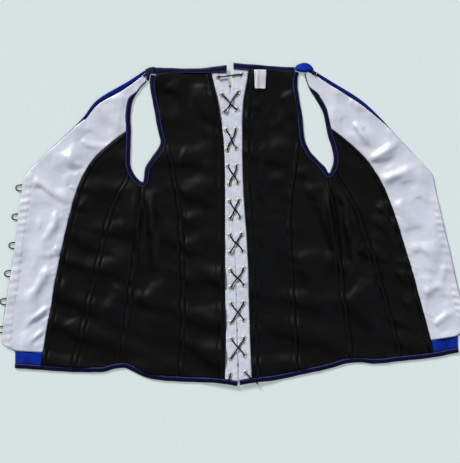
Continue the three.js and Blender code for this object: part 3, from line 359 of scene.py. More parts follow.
# What each half is made from: its tables, the phase of its waves, how much its folds differ, and how many
# rings of its shoulder fold carry painted shade
LEFT = {
    "name": "left", "side": -1, "seams": LEFT_SEAMS, "hem": LEFT_HEM, "facing_hem": LEFT_FACING_HEM,
    "armhole": LEFT_ARMHOLE, "corners": LEFT_CORNERS, "roll": (198, 213), "front_rows": LEFT_FRONT_ROWS,
    "sliver": LEFT_SLIVER, "neck": LEFT_NECK, "neck_outer": LEFT_NECK_OUTER, "folds": LEFT_FOLDS,
    "shoulder": LEFT_SHOULDER, "over": 0, "creases": LEFT_CREASES, "facing_creases": LEFT_FACING_CREASES,
    "placket": LEFT_PLACKET, "phase": 0.0, "shaded_rings": 7, "facing_share": 1.05,
}
RIGHT = {
    "name": "right", "side": 1, "seams": RIGHT_SEAMS, "hem": RIGHT_HEM, "facing_hem": RIGHT_FACING_HEM,
    "armhole": RIGHT_ARMHOLE, "corners": RIGHT_CORNERS, "roll": (204, 222), "front_rows": RIGHT_FRONT_ROWS,
    "sliver": RIGHT_SLIVER, "neck": RIGHT_NECK, "neck_outer": RIGHT_NECK_OUTER, "folds": RIGHT_FOLDS,
    "shoulder": RIGHT_SHOULDER, "over": STRIP_OVERLAP_LIFT, "creases": RIGHT_CREASES,
    "facing_creases": RIGHT_FACING_CREASES, "placket": RIGHT_PLACKET, "phase": 2.1, "shaded_rings": 3,
    "facing_share": 1.45,
}


# Curves and heights
def smooth(value):
    t = np.clip(value, 0.0, 1.0)
    return t * t * (3 - 2 * t)


def table_value(pairs, at):
    """A value read from [at, value] pairs by a smooth cubic through them."""
    rows = np.array(sorted([list(p) for p in pairs]), float)
    xs, ys = rows[:, 0], rows[:, 1]
    last = len(xs) - 1
    before = np.maximum(np.arange(last + 1) - 1, 0)
    after = np.minimum(np.arange(last + 1) + 1, last)
    slope = (ys[after] - ys[before]) / (xs[after] - xs[before])
    x = np.clip(at, xs[0], xs[-1])
    i = np.clip(np.searchsorted(xs, x, side="left") - 1, 0, last - 1)
    span = xs[i + 1] - xs[i]
    t = (x - xs[i]) / span
    t2, t3 = t * t, t * t * t
    return ((2 * t3 - 3 * t2 + 1) * ys[i] + (t3 - 2 * t2 + t) * span * slope[i]
            + (3 * t2 - 2 * t3) * ys[i + 1] + (t3 - t2) * span * slope[i + 1])


def seam_x(half, seam, y):
    """Where a seam of a half lies at a height."""
    column = SEAM_COLUMNS.index(seam)
    return table_value([[row[0], row[column]] for row in half["seams"]], y)


def strip_lift(y):
    """Share of the overlap's lift at a height."""
    return smooth((y - OVERLAP_START) / OVERLAP_RUN)


def height(half, x, y):
    """The cloth's underside above the surface."""
    rise = STRIP_FLOOR + half["over"] * strip_lift(y)
    from_strip = half["side"] * (x - seam_x(half, "e", y))
    z = rise * (1 - smooth((from_strip - STRIP_SLOPE_START) / STRIP_SLOPE_RUN))
    for x0, y0, x1, y1, tall, wide in half["folds"]:
        length = math.hypot(x1 - x0, y1 - y0)
        dx, dy = (x1 - x0) / length, (y1 - y0) / length
        along = (x - x0) * dx + (y - y0) * dy
        across = (x - x0) * dy - (y - y0) * dx
        ends = smooth((along + FOLD_TAIL) / FOLD_RUN) * smooth((length + FOLD_TAIL - along) / FOLD_RUN)
        z = z + FOLD_SHARE * tall * ends * np.exp(-(across / wide) ** 2)
    return np.where(z < 0.05, 0.0, z)


def distance_to_line(x, y, points):
    """Distance to a line of points, and how far along it the nearest place is."""
    best = np.full(np.shape(x), 1e9)
    place = np.zeros(np.shape(x))
    reach = 0.0
    for (x0, y0), (x1, y1) in zip(points, points[1:]):
        length = math.hypot(x1 - x0, y1 - y0)
        dx, dy = (x1 - x0) / length, (y1 - y0) / length
        t = np.clip((x - x0) * dx + (y - y0) * dy, 0, length)
        d = np.hypot(x - x0 - t * dx, y - y0 - t * dy)
        nearer = d < best
        best = np.where(nearer, d, best)
        place = np.where(nearer, reach + t, place)
        reach += length
    return best, place, reach


def creases(table, x, y, widen=1.0):
    """Soft ridges and troughs along lines, which fade out at their ends."""
    z = np.zeros(np.shape(x))
    for points, tall, wide in table:
        d, place, total = distance_to_line(x, y, catmull(points, 8))
        fade = smooth(place / (0.18 * total)) * smooth((total - place) / (0.62 * total))
        z = z + tall * fade * np.exp(-(d / (wide * widen)) ** 2)
    return z


def pressed(z, floor):
    """The same relief with its hollows levelling off softly above a lowest depth."""
    return np.where(z < 0, -floor * (1 - np.exp(np.minimum(z, 0) / floor)), z)


def unevenness(x, y, phase, pitch, tall):
    """Low waves in several directions, none of them repeating with another."""
    k = 2 * math.pi / pitch
    return tall * (np.sin(k * (0.92 * x + 0.31 * y) + phase)
                   * np.cos(k * (0.27 * x - 0.83 * y) * 0.71 + 1.3 * phase)
                   + 0.6 * np.sin(k * 1.73 * (0.55 * y - 0.61 * x) + 2.2 + phase)
                   * np.cos(k * 1.31 * (0.7 * x + 0.52 * y) + 0.4))


def bands(x, y, phase, pitch, tall):
    """Long low waves across the garment, bent and fading along their length."""
    bend = 1.5 * np.sin(x / 52.0 + phase) + 0.8 * np.sin(x / 23.0 + y / 71.0 + 2.1 * phase)
    fade = 0.55 + 0.45 * np.sin(x / 44.0 - y / 97.0 + 1.7 * phase)
    return tall * fade * np.sin(2 * math.pi * (y + 0.22 * x) / pitch + bend)


# The lining's bands and waves: pitch and height of each, and what the broad bands gain low down
BAND_PITCH, BAND_HEIGHT = 58.0, 1.5
BAND_GAIN, BAND_GAIN_TOP, BAND_GAIN_RUN = 1.1, 20, 110
FINE_BAND_PITCH, FINE_BAND_HEIGHT = 27.0, 0.3
WAVE_PITCH, WAVE_HEIGHT = 110.0, 1.6
LINING_LIFT = 0.3
# Ripples beside a channel, the groove along each side of it, and where the relief levels off
RIPPLE_REACH = 25.0
GROOVE_OFF, GROOVE_WIDTH, GROOVE_DEPTH = 5.2, 1.3, 0.9
RELIEF_KNEE, RELIEF_ROOM = 2.0, 1.4
LINING_HOLLOW = 1.3
# Distance of the middle of the lacing's channel from its seam, and a height past the neck, where it ends
BACK_CHANNEL_MIDDLE = 8
PAST_THE_NECK = 400


def lining_relief(half, x, y):
    """How the black lining stands over its wall: creases, bands, and ripples beside the bone channels."""
    phase = half["phase"]
    tall = BAND_HEIGHT + BAND_GAIN * smooth((BAND_GAIN_TOP - y) / BAND_GAIN_RUN)
    z = LINING_DEPTH * creases(half["creases"], x, y, CREASE_WIDEN) + bands(x, y, phase, BAND_PITCH, tall)
    z = z + unevenness(x, y, phase, WAVE_PITCH, WAVE_HEIGHT)
    z = z + bands(x, y, phase + 1.9, FINE_BAND_PITCH, FINE_BAND_HEIGHT) + LINING_LIFT
    for number, seam in enumerate("abcde"):
        middle = -BACK_CHANNEL_MIDDLE if seam == "e" else CHANNEL_WIDTH / 2
        off = x - seam_x(half, seam, y) + middle * half["side"]
        top = PAST_THE_NECK if seam == "e" else half["corners"][seam][1]
        fade = smooth((top - 12 - y) / 45)
        turn = (2 * math.pi * y / (31.0 + 3.1 * number) + 1.7 * number + phase
                + 1.1 * np.sin(y / 41.0 + number) + off / 24.0)
        wave = np.sin(turn) + 0.30 * np.sin(2 * turn + 0.8)
        strength = 0.60 + 0.42 * np.sin(y / 57.0 + 2.3 * number + phase)
        z = z + fade * strength * wave * np.exp(-(off / RIPPLE_REACH) ** 2)
        z = z - GROOVE_DEPTH * fade * np.exp(-((np.abs(off) - GROOVE_OFF) / GROOVE_WIDTH) ** 2)
    z = np.where(z > RELIEF_KNEE, RELIEF_KNEE + RELIEF_ROOM * np.tanh((z - RELIEF_KNEE) / RELIEF_ROOM), z)
    return pressed(z, LINING_HOLLOW)


# Waves of the facing: shift of phase, pitch, height
FACING_WAVES = [(1.0, 61.0, 1.4), (3.0, 23.0, 0.26)]
# Puckers beside the placket's stitches and beside the inner seam, and the depth of the stitched line
PLACKET_PUCKER_PITCH = 12.5
PLACKET_PUCKER_REACH = 26.0
SEAM_PUCKER_PITCH = 9.6
SEAM_PUCKER_REACH = 9.0
STITCHED_DEPTH, STITCHED_WIDTH = 0.55, 1.5
FACING_HOLLOW = 1.0


def facing_relief(half, x, y):
    """Creases of the white facing, and puckers beside the placket's stitches and the inner seam."""
    z = FACING_DEPTH * half["facing_share"] * creases(half["facing_creases"], x, y)
    for shift, pitch, tall in FACING_WAVES:
        z = z + unevenness(x, y, half["phase"] + shift, pitch, tall)
    line = catmull(half["placket"], 6)
    line_x, line_y = np.array(line[::-1]).T
    low, high = line_y.min(), line_y.max()
    outer = half["side"] * (x - np.interp(y, line_y, line_x))
    near = smooth((outer + 3.5) / 5.0) * np.exp(-np.maximum(outer, 0) / PLACKET_PUCKER_REACH)
    near = near * smooth((high + 12 - y) / 30) * smooth((y - low + 14) / 12)
    pucker = np.sin(2 * math.pi * y / PLACKET_PUCKER_PITCH + 0.06 * outer + 1.6 * np.sin(y / 23.0))
    strength = 0.48 + 0.26 * np.sin(y / 17.0 + half["phase"])
    z = z + strength * pucker * near
    off_line = distance_to_line(x, y, line)[0]
    z = z - STITCHED_DEPTH * np.exp(-(off_line / STITCHED_WIDTH) ** 2) + 0.25 * near
    seam = -half["side"] * (seam_x(half, "a", y) - x)
    edge = np.exp(-np.maximum(seam, 0) / SEAM_PUCKER_REACH) * smooth((60 - y) / 40)
    pucker = np.sin(2 * math.pi * (y + 0.5 * seam) / SEAM_PUCKER_PITCH + np.sin(y / 19.0))
    z = z + (0.22 + 0.14 * np.sin(y / 13.0)) * edge * pucker
    return pressed(z, FACING_HOLLOW)


def catmull(points, steps):
    """A centripetal curve through points, as a list with steps places in each stretch."""
    p = np.asarray(points, float)
    if len(p) == 2:
        return [tuple(p[0] + (p[1] - p[0]) * t) for t in np.linspace(0, 1, steps + 1)]
    ext = np.vstack([2 * p[0] - p[1], p, 2 * p[-1] - p[-2]])
    out = []
    for i in range(1, len(ext) - 2):
        q0, q1, q2, q3 = ext[i - 1:i + 3]
        d0, d1, d2 = (max(np.linalg.norm(b - a) ** 0.5, 1e-4) for a, b in ((q0, q1), (q1, q2), (q2, q3)))
        m1 = ((q1 - q0) / d0 - (q2 - q0) / (d0 + d1) + (q2 - q1) / d1) * d1
        m2 = ((q2 - q1) / d1 - (q3 - q1) / (d1 + d2) + (q3 - q2) / d2) * d1
        for t in np.arange(steps) / steps:
            t2, t3 = t * t, t * t * t
            out.append(tuple((2 * t3 - 3 * t2 + 1) * q1 + (t3 - 2 * t2 + t) * m1
                             + (3 * t2 - 2 * t3) * q2 + (t3 - t2) * m2))
    out.append(tuple(p[-1]))
    return out


def reach_of(points):
    """How far along a line of points each of them lies."""
    steps = np.linalg.norm(np.diff(np.asarray(points, float), axis=0), axis=1)
    return np.concatenate([[0], np.cumsum(steps)])


def unit(vectors):
    """The same directions with a length of one."""
    return vectors / np.linalg.norm(vectors, axis=-1, keepdims=True)


def turned(along, turn):
    """Directions in the plan turned a quarter: to the right where turn is 1, to the left where it is -1."""
    return np.stack([along[:, 1] * turn, -along[:, 0] * turn], -1)


def normals_of(points, turn):
    """Directions that stand square to a line of points in the plan."""
    return turned(unit(np.gradient(np.asarray(points, float), axis=0)), turn)


def line_of(points):
    """A line of points as a function of its share of length."""
    p = np.asarray(points, float)
    reach = reach_of(p)

    def at(share):
        s = np.clip(share, 0, 1) * reach[-1]
        return np.stack([np.interp(s, reach, p[:, k]) for k in range(p.shape[1])], -1)

    at.length = reach[-1]
    return at


def spaced(points, step):
    """The same line with places a step apart."""
    line = line_of(points)
    return line(np.linspace(0, 1, max(2, round(line.length / step)) + 1))


def patch(left, right, bottom, top):
    """A surface between four lines, as a function of the shares across and along."""
    left, right, bottom, top = (line_of(line) for line in (left, right, bottom, top))
    c00, c10, c01, c11 = bottom(0.0), bottom(1.0), top(0.0), top(1.0)

    def at(u, v):
        un, vn = u[..., None], v[..., None]
        ruled = bottom(u) * (1 - vn) + top(u) * vn + left(v) * (1 - un) + right(v) * un
        return ruled - ((c00 * (1 - un) + c10 * un) * (1 - vn) + (c01 * (1 - un) + c11 * un) * vn)

    return at


def width_of(surface, v):
    """Width of a surface at shares of its length."""
    return np.linalg.norm(surface(np.ones_like(v), v) - surface(np.zeros_like(v), v), axis=1)


# The halves' lines
def arm_of(half):
    """One armhole: its binding's directions and width, the cloth's edge, and the seams' corners."""
    free = line_of(catmull(half["armhole"], 24))(np.linspace(0, 1, FINE_STEPS + 1))
    turn = 1 if half["side"] < 0 else -1
    index = np.arange(FINE_STEPS + 1)
    along = free[np.minimum(index + 2, FINE_STEPS)] - free[np.maximum(index - 2, 0)]
    outward = turned(unit(along), turn)
    low, high = half["roll"]
    rolled = np.where(index < np.argmin(free[:, 1]), smooth((free[:, 1] - low) / (high - low)), 0.0)
    width = BINDING_WIDTH * (1 + (ROLLED_SHARE - 1) * rolled)
    edge = free + outward * (width + GAP)[:, None]
    corner = {"front": 0, "back": FINE_STEPS}
    for seam, place in half["corners"].items():
        corner[seam] = int(np.argmin(np.linalg.norm(free - np.array(place), axis=1)))
    return {"outward": outward, "width": width, "edge": edge, "corner": corner}


def stretch(arm, first, last):
    """The armhole's edge from one corner to another."""
    a, b = arm["corner"][first], arm["corner"][last]
    low, high = min(a, b), max(a, b)
    part = arm["edge"][low:high + 1]
    return part if a < b else part[::-1]


# Length below its top over which a seam bends to meet its corner
SEAM_BEND = 70


def seam_line(half, seam, bottom_y, top):
    """A seam from a height at the hem up to its corner."""
    y = np.linspace(bottom_y, top[1], FINE_STEPS + 1)
    bend = smooth((y - (top[1] - SEAM_BEND)) / SEAM_BEND)
    return np.stack([seam_x(half, seam, y) + bend * (top[0] - seam_x(half, seam, top[1])), y], -1)


def hem_crossing(half, seam):
    """Where a seam meets the hem."""
    y = half["hem"][len(half["hem"]) // 2][1]
    for _ in range(8):
        y = float(table_value(half["hem"], seam_x(half, seam, y)))
    return np.array([float(seam_x(half, seam, y)), y])


def hem_line(half, x0, x1, steps=60):
    """The hem between two places."""
    x = np.linspace(x0, x1, steps + 1)
    return np.stack([x, table_value(half["hem"], x)], -1)


def geometry_of(half):
    """Lines of one half, and the surfaces of its panels by the seam that each starts at."""
    arm = arm_of(half)
    top = {s: arm["edge"][arm["corner"][s]] for s in "abcd"}
    top["e"] = np.array([float(seam_x(half, "e", SPLIT_Y)), SPLIT_Y])
    foot = {s: hem_crossing(half, s) for s in ["a", "b", "c", "d", "e", "cb"]}
    line = {s: seam_line(half, s, foot[s][1], top[s]) for s in "abcde"}
    surfaces = {}
    for seam, following in zip("abc", "bcd"):
        hem = hem_line(half, foot[seam][0], foot[following][0])
        surfaces[seam] = [patch(line[seam], line[following], hem, stretch(arm, seam, following))]
    split = [top["d"], top["e"]]
    neck_x = float(seam_x(half, "e", half["neck"][3][1]))
    neck_e = np.array([neck_x, float(table_value(half["neck"], neck_x))])
    back_end = arm["edge"][arm["corner"]["back"]]
    curve = [p for p in catmull(half["neck"], 12) if abs(neck_e[0]) + 4 < abs(p[0]) < abs(back_end[0]) - 6]
    neck = [tuple(back_end)] + curve + [tuple(neck_e)]
    inner_up = seam_line(half, "e", SPLIT_Y, neck_e)
    surfaces["d"] = [
        patch(line["d"], line["e"], hem_line(half, foot["d"][0], foot["e"][0]), split),
        patch(stretch(arm, "d", "back"), inner_up, split, neck),
    ]
    neck_cb = np.array([float(seam_x(half, "cb", neck_e[1])), float(table_value(half["neck"], 0.0))])
    return {
        "arm": arm, "foot": foot, "line": line, "surfaces": surfaces, "neck": neck, "inner_up": inner_up,
        "neck_cb": neck_cb,
    }


# Distances of the close columns from a seam
CLOSE_COLUMNS = (0.8, 2.2)


def plan_grid(surface, columns, rows):
    """Points of a surface with close columns beside its two seams, and their distances to them."""
    v = np.linspace(0, 1, rows + 1)
    width = np.maximum(width_of(surface, v), 1.0)
    shares = []
    for wide in width:
        first = [min(off / wide, 0.12 * (k + 1)) for k, off in enumerate(CLOSE_COLUMNS)]
        middle = np.linspace(first[-1], 1 - first[-1], columns - 2 * len(first) + 1)
        shares.append([0.0] + first[:-1] + list(middle) + [1 - f for f in first[:-1][::-1]] + [1.0])
    u = np.array(shares)
    plan = surface(u, np.repeat(v[:, None], u.shape[1], axis=1))
    return plan, u * width[:, None], (1 - u) * width[:, None]


def rolled(first, last, depth):
    """How far a seam edge turns down, from the distances to both seams."""
    near = np.minimum(first, last)
    return depth * (1 - smooth(near / 2.0)) ** 1.5


# Mesh making
made = {}


def to_metres(points):
    """Points of the garment's own plan, in the shared frame."""
    p = np.array(points, float)
    p[..., 0] -= CENTRE_X
    p[..., 1] -= CENTRE_Y
    return p / 1000


def add_piece(name, verts, faces, materials, face_material=None, uvs=None, node=None, slot=None):
    """A named closed mesh in the frame, with its faces turned outwards."""
    mesh = bpy.data.meshes.new(name)
    mesh.from_pydata([tuple(p) for p in to_metres(verts)], [], [tuple(int(i) for i in f) for f in faces])
    for m in materials:
        mesh.materials.append(m)
    if face_material is not None:
        mesh.polygons.foreach_set("material_index", np.asarray(face_material, np.int32))
    layer = mesh.uv_layers.new(name="UVMap")
    if uvs is None:
        uvs = np.asarray(verts, float)[:, :2] / 100
    loops = np.zeros(len(mesh.loops), np.int32)
    mesh.loops.foreach_get("vertex_index", loops)
    layer.data.foreach_set("uv", np.asarray(uvs, np.float32)[loops].ravel())
    work = bmesh.new()
    work.from_mesh(mesh)
    bmesh.ops.recalc_face_normals(work, faces=work.faces)
    work.to_mesh(mesh)
    work.free()
    mesh.polygons.foreach_set("use_smooth", np.ones(len(mesh.polygons), bool))
    mesh.update()
    obj = bpy.data.objects.new(f"shown_{name}" if node == name else name, mesh)
    bpy.context.scene.collection.objects.link(obj)
    if node:
        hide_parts(*([node] if isinstance(node, str) else node))
    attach(obj, "root")
    made[name] = obj
    return obj


def slab(name, plan, low, high, materials, keep=None, **rest):
    """A closed sheet over plan points, between its lower and upper heights; keep leaves cells out."""
    rows, columns = plan.shape[:2]
    count = rows * columns
    verts = np.concatenate([
        np.concatenate([plan.reshape(-1, 2), low.reshape(-1, 1)], 1),
        np.concatenate([plan.reshape(-1, 2), high.reshape(-1, 1)], 1),
    ])
    i, j = np.meshgrid(np.arange(rows - 1), np.arange(columns - 1), indexing="ij")
    a = (i * columns + j).ravel()
    cells = np.stack([a, a + 1, a + columns + 1, a + columns], -1)
    if keep is not None:
        cells = cells[keep.ravel()]
    edges = {}
    for cell in cells:
        for k in range(4):
            p, q = int(cell[k]), int(cell[(k + 1) % 4])
            if (q, p) in edges:
                del edges[(q, p)]
            else:
                edges[(p, q)] = True
    top = cells + count
    walls = [(p, q, q + count, p + count) for p, q in edges]
    faces = [tuple(f) for f in top] + [tuple(f[::-1]) for f in cells] + walls
    which = [0] * len(top) + [len(materials) - 1] * (len(cells) + len(walls))
    used = np.unique(np.concatenate([top.ravel(), cells.ravel()]))
    renumber = np.zeros(2 * count, np.int64)
    renumber[used] = np.arange(len(used))
    faces = [tuple(renumber[list(f)]) for f in faces]
    return add_piece(name, verts[used], faces, materials, which, **rest)


def sweep(name, rings, materials, uvs=None, **rest):
    """A closed body through rings of points, capped at both ends."""
    rings = np.asarray(rings, float)
    rows, count = rings.shape[:2]
    faces = []
    for i in range(rows - 1):
        for j in range(count):
            k = (j + 1) % count
            faces.append((i * count + j, i * count + k, (i + 1) * count + k, (i + 1) * count + j))
    faces.append(tuple(range(count))[::-1])
    faces.append(tuple((rows - 1) * count + j for j in range(count)))
    flat_uv = None
    if uvs is not None:
        flat_uv = np.asarray(uvs, float).reshape(-1, 2)
    return add_piece(name, rings.reshape(-1, 3), faces, materials, uvs=flat_uv, **rest)


def tube_rings(path, radius, sides):
    """Rings round a line of points, without twist."""
    p = np.asarray(path, float)
    tangent = unit(np.gradient(p, axis=0))
    side = np.cross([0, 0, 1.0], tangent[0])
    if np.linalg.norm(side) < 0.1:
        side = np.array([1.0, 0, 0])
    angle = 2 * math.pi * np.arange(sides) / sides
    rings = []
    radius = np.broadcast_to(radius, (len(p),))
    for centre, along, r in zip(p, tangent, radius):
        side = unit(side - along * side.dot(along))
        up = np.cross(along, side)
        rings.append(centre + r * (np.cos(angle)[:, None] * side + np.sin(angle)[:, None] * up))
    return np.array(rings)


def declare_sheet(obj, width, length, rests_on=(), held="laid", with_pieces=()):
    """Reads the areas of a cloth piece's faces and does nothing with them; its size in millimetres is not
    used.
    """
    faces = obj.data.polygons
    areas = np.zeros(len(faces))
    faces.foreach_get("area", areas)


# Materials
def new_material(name):
    """A material, its node tree and its shader."""
    mat = bpy.data.materials.new(name)
    mat.use_nodes = True
    return mat, mat.node_tree, mat.node_tree.nodes["Principled BSDF"]


def set_values(node, values):
    for socket, value in values.items():
        node.inputs[socket].default_value = value


def link_all(tree, node, sources):
    for socket, source in sources.items():
        tree.links.new(source, node.inputs[socket])


def object_place(tree):
    return tree.nodes.new("ShaderNodeTexCoord").outputs["Object"]


def noise_of(tree, source, scale, detail=3.0, roughness=0.55):
    node = tree.nodes.new("ShaderNodeTexNoise")
    set_values(node, {"Scale": scale, "Detail": detail, "Roughness": roughness})
    link_all(tree, node, {"Vector": source})
    return node.outputs["Fac"]


def wave_of(tree, source, pitch, direction, distortion):
    """Bands of a given pitch in the source's own units."""
    node = tree.nodes.new("ShaderNodeTexWave")
    node.wave_type = "BANDS"
    node.bands_direction = direction
    node.wave_profile = "SIN"
    set_values(node, {"Scale": 2 * math.pi / (20 * pitch), "Distortion": distortion})
    link_all(tree, node, {"Vector": source})
    return node.outputs["Fac"]


def math_node(tree, operation, first, second=0.0):
    node = tree.nodes.new("ShaderNodeMath")
    node.operation = operation
    for socket, value in zip(node.inputs, (first, second)):
        if isinstance(value, (int, float)):
            socket.default_value = value
        else:
            tree.links.new(value, socket)
    return node.outputs[0]


def ramp_of(tree, source, stops):
    """Colours at places along a value from 0 to 1."""
    node = tree.nodes.new("ShaderNodeValToRGB")
    ramp = node.color_ramp
    while len(ramp.elements) < len(stops):
        ramp.elements.new(0.5)
    for element, (place, colour) in zip(ramp.elements, stops):
        element.position = place
        element.color = (*colour, 1)
    link_all(tree, node, {"Fac": source})
    return node.outputs["Color"]


def bump_of(tree, source, strength, distance, under=None):
    node = tree.nodes.new("ShaderNodeBump")
    set_values(node, {"Strength": strength, "Distance": distance})
    link_all(tree, node, {"Height": source} if under is None else {"Height": source, "Normal": under})
    return node.outputs["Normal"]


def range_of(tree, source, low, high):
    node = tree.nodes.new("ShaderNodeMapRange")
    set_values(node, {"To Min": low, "To Max": high})
    link_all(tree, node, {"Value": source})
    return node.outputs["Result"]


def cloth(name, dark, light, roughness, sheen=0.0, sheen_tint=(1, 1, 1), sheen_roughness=0.4,
          weave=0.0006, weave_bump=0.25, crumple=0.0, specular=0.5, slope=0.0):
    """Woven cloth: two close colours in patches, threads both ways, and fine crumples."""
    mat, tree, shader = new_material(name)
    where = object_place(tree)
    if slope:
        turn = tree.nodes.new("ShaderNodeMapping")
        turn.inputs["Rotation"].default_value[2] = slope
        link_all(tree, turn, {"Vector": where})
        where = turn.outputs["Vector"]
    colour = ramp_of(tree, noise_of(tree, where, 22.0, 4.0), [(0.32, dark), (0.68, light)])
    fine = range_of(tree, noise_of(tree, where, 140.0, 2.0), roughness - 0.05, roughness + 0.07)
    warp = wave_of(tree, where, weave, "X", 0.4)
    weft = wave_of(tree, where, weave * 1.35, "Y", 0.4)
    normal = bump_of(tree, math_node(tree, "MULTIPLY", warp, weft), weave_bump, 0.00025)
    if crumple:
        normal = bump_of(tree, noise_of(tree, where, 95.0, 3.0, 0.6), crumple, 0.0012, normal)
    link_all(tree, shader, {"Base Color": colour, "Roughness": fine, "Normal": normal})
    shader.inputs["Specular IOR Level"].default_value = specular
    if sheen:
        set_values(shader, {"Sheen Weight": sheen, "Sheen Roughness": sheen_roughness,
                            "Sheen Tint": (*sheen_tint, 1)})
    return mat


LINING = cloth("black_satin", (0.0003, 0.0003, 0.0004), (0.0008, 0.0008, 0.0010), 0.52,
               weave_bump=0.12, crumple=0.06, specular=0.14)
SATIN = cloth("white_satin", (0.560, 0.575, 0.68), (0.630, 0.64, 0.715), 0.39,
              weave_bump=0.10, crumple=0.34, specular=0.62)
VELVET = cloth("blue_velvet", (0.0005, 0.007, 0.12), (0.0022, 0.036, 0.42), 0.85, sheen=0.35,
               sheen_tint=(0.02, 0.15, 0.95), sheen_roughness=0.30, weave=0.0009, weave_bump=0.5,
               crumple=0.45, specular=0.12)
# Darker velvet as painted shade: for the shell's edge that shows beyond the facing, and for the right
# shoulder fold's lower rings
VELVET_SHADE = cloth("blue_velvet_shade", (0.0012, 0.006, 0.075), (0.0026, 0.014, 0.17), 0.88, sheen=0.1,
                    sheen_tint=(0.05, 0.14, 0.9), sheen_roughness=0.3, weave=0.0009, weave_bump=0.5,
                    crumple=0.6, specular=0.08)
TAPE = cloth("channel_tape", (0.0006, 0.0006, 0.0007), (0.0012, 0.0012, 0.0014), 0.50,
             weave=0.0008, weave_bump=0.3, crumple=0.15, specular=0.13, slope=0.7)
STRAP = cloth("navy_velvet", (0.0015, 0.0028, 0.018), (0.003, 0.005, 0.036), 0.75, sheen=0.2,
              sheen_tint=(0.1, 0.15, 0.7), sheen_roughness=0.35, weave_bump=0.4, crumple=0.3, specular=0.2)
LABEL = cloth("label_tape", (0.64, 0.66, 0.70), (0.74, 0.755, 0.79), 0.6, weave=0.0005, weave_bump=0.4,
              crumple=0.1, specular=0.3)
BLACK_THREAD = cloth("black_thread", (0.0010, 0.0010, 0.0011), (0.0024, 0.0024, 0.0027), 0.6, weave=0.0003,
                     weave_bump=0.3, specular=0.10)
WHITE_THREAD = cloth("white_thread", (0.62, 0.63, 0.68), (0.80, 0.81, 0.84), 0.5, weave=0.0003,
                     weave_bump=0.3, specular=0.4)


def uv_parts(tree):
    """The two parts of a piece's own layout: along it and across it."""
    uv = tree.nodes.new("ShaderNodeUVMap")
    uv.uv_map = "UVMap"
    split = tree.nodes.new("ShaderNodeSeparateXYZ")
    link_all(tree, split, {"Vector": uv.outputs["UV"]})
    return split.outputs["X"], split.outputs["Y"]


# Colours across the navy binding: painted shade, its upper face, a painted highlight on its crest, a second,
# weaker painted highlight, and painted shade underneath
NAVY_SHADE = (0.0018, 0.0020, 0.015)
NAVY = (0.0022, 0.0026, 0.018)
CREST_HIGHLIGHT = (0.038, 0.046, 0.21)
SECOND_CREST_HIGHLIGHT = (0.020, 0.026, 0.13)
NAVY_UNDER_SHADE = (0.0014, 0.0018, 0.013)
BINDING_STOPS = [
    (0.0, NAVY_SHADE), (0.17, NAVY_SHADE), (0.22, CREST_HIGHLIGHT), (0.27, NAVY), (0.46, NAVY), (0.52, SECOND_CREST_HIGHLIGHT),
    (0.58, NAVY), (1.0, NAVY_UNDER_SHADE),
]


def binding_material():
    """Navy bias binding, with a paler blue painted highlight along its crest and painted shade beside it and
    underneath.
    """
    mat, tree, shader = new_material("navy_binding")
    where = object_place(tree)
    wander = math_node(tree, "MULTIPLY", noise_of(tree, where, 60.0, 2.0), 0.10)
    # Share across the binding, wandering a little, which places its painted highlights and painted shade
    across = math_node(tree, "ADD", uv_parts(tree)[1], wander)
    mix = tree.nodes.new("ShaderNodeMix")
    mix.data_type = "RGBA"
    mix.blend_type = "MULTIPLY"
    mix.inputs["Factor"].default_value = 1.0
    tone = ramp_of(tree, noise_of(tree, where, 120.0), [(0.3, (0.62,) * 3), (0.7, (1.2,) * 3)])
    # The colour inputs and the colour output of this node have these numbers
    link_all(tree, mix, {6: ramp_of(tree, across, BINDING_STOPS), 7: tone})
    fine = range_of(tree, noise_of(tree, where, 160.0, 2.0), 0.5, 0.68)
    normal = bump_of(tree, wave_of(tree, where, 0.0007, "DIAGONAL", 0.5), 0.3, 0.0003)
    normal = bump_of(tree, noise_of(tree, where, 130.0), 0.4, 0.001, normal)
    link_all(tree, shader, {"Base Color": mix.outputs[2], "Roughness": fine, "Normal": normal})
    set_values(shader, {"Sheen Weight": 0.06, "Sheen Tint": (0.10, 0.14, 0.75, 1), "Sheen Roughness": 0.3,
                        "Specular IOR Level": 0.10})
    return mat


# Length of one turn of a strand of the lace, in millimetres, and the number of strands
STRAND_PITCH = 2.4
STRANDS = 4


def cord_material():
    """Round black braid: strands that cross both ways round the cord."""
    mat, tree, shader = new_material("lace_braid")
    along, around = uv_parts(tree)
    along = math_node(tree, "MULTIPLY", along, 2 * math.pi / STRAND_PITCH)
    around = math_node(tree, "MULTIPLY", around, 2 * math.pi * STRANDS)
    ways = [math_node(tree, "SINE", math_node(tree, way, along, around)) for way in ("ADD", "SUBTRACT")]
    braid = math_node(tree, "MAXIMUM", *ways)
    colour = ramp_of(tree, braid, [(0.0, (0.0012, 0.0012, 0.0014)), (0.9, (0.005, 0.005, 0.0055))])
    link_all(tree, shader, {"Base Color": colour, "Normal": bump_of(tree, braid, 0.6, 0.0003)})
    set_values(shader, {"Roughness": 0.65, "Specular IOR Level": 0.15})
    return mat


def nickel_material():
    """Worn nickel, a little dull."""
    mat, tree, shader = new_material("eyelet_nickel")
    where = object_place(tree)
    wear = [(0.35, (0.40, 0.39, 0.35)), (0.65, (0.60, 0.585, 0.54))]
    link_all(tree, shader, {
        "Base Color": ramp_of(tree, noise_of(tree, where, 420.0), wear),
        "Roughness": range_of(tree, noise_of(tree, where, 900.0, 2.0), 0.36, 0.5),
        "Normal": bump_of(tree, noise_of(tree, where, 1500.0, 2.0), 0.15, 0.0001),
    })
    shader.inputs["Metallic"].default_value = 0.45
    return mat


BINDING = binding_material()
CORD = cord_material()
NICKEL = nickel_material()
WIRE = cloth("loop_wire", (0.0045, 0.0038, 0.0034), (0.012, 0.010, 0.0085), 0.5, weave_bump=0.02,
             specular=0.2)


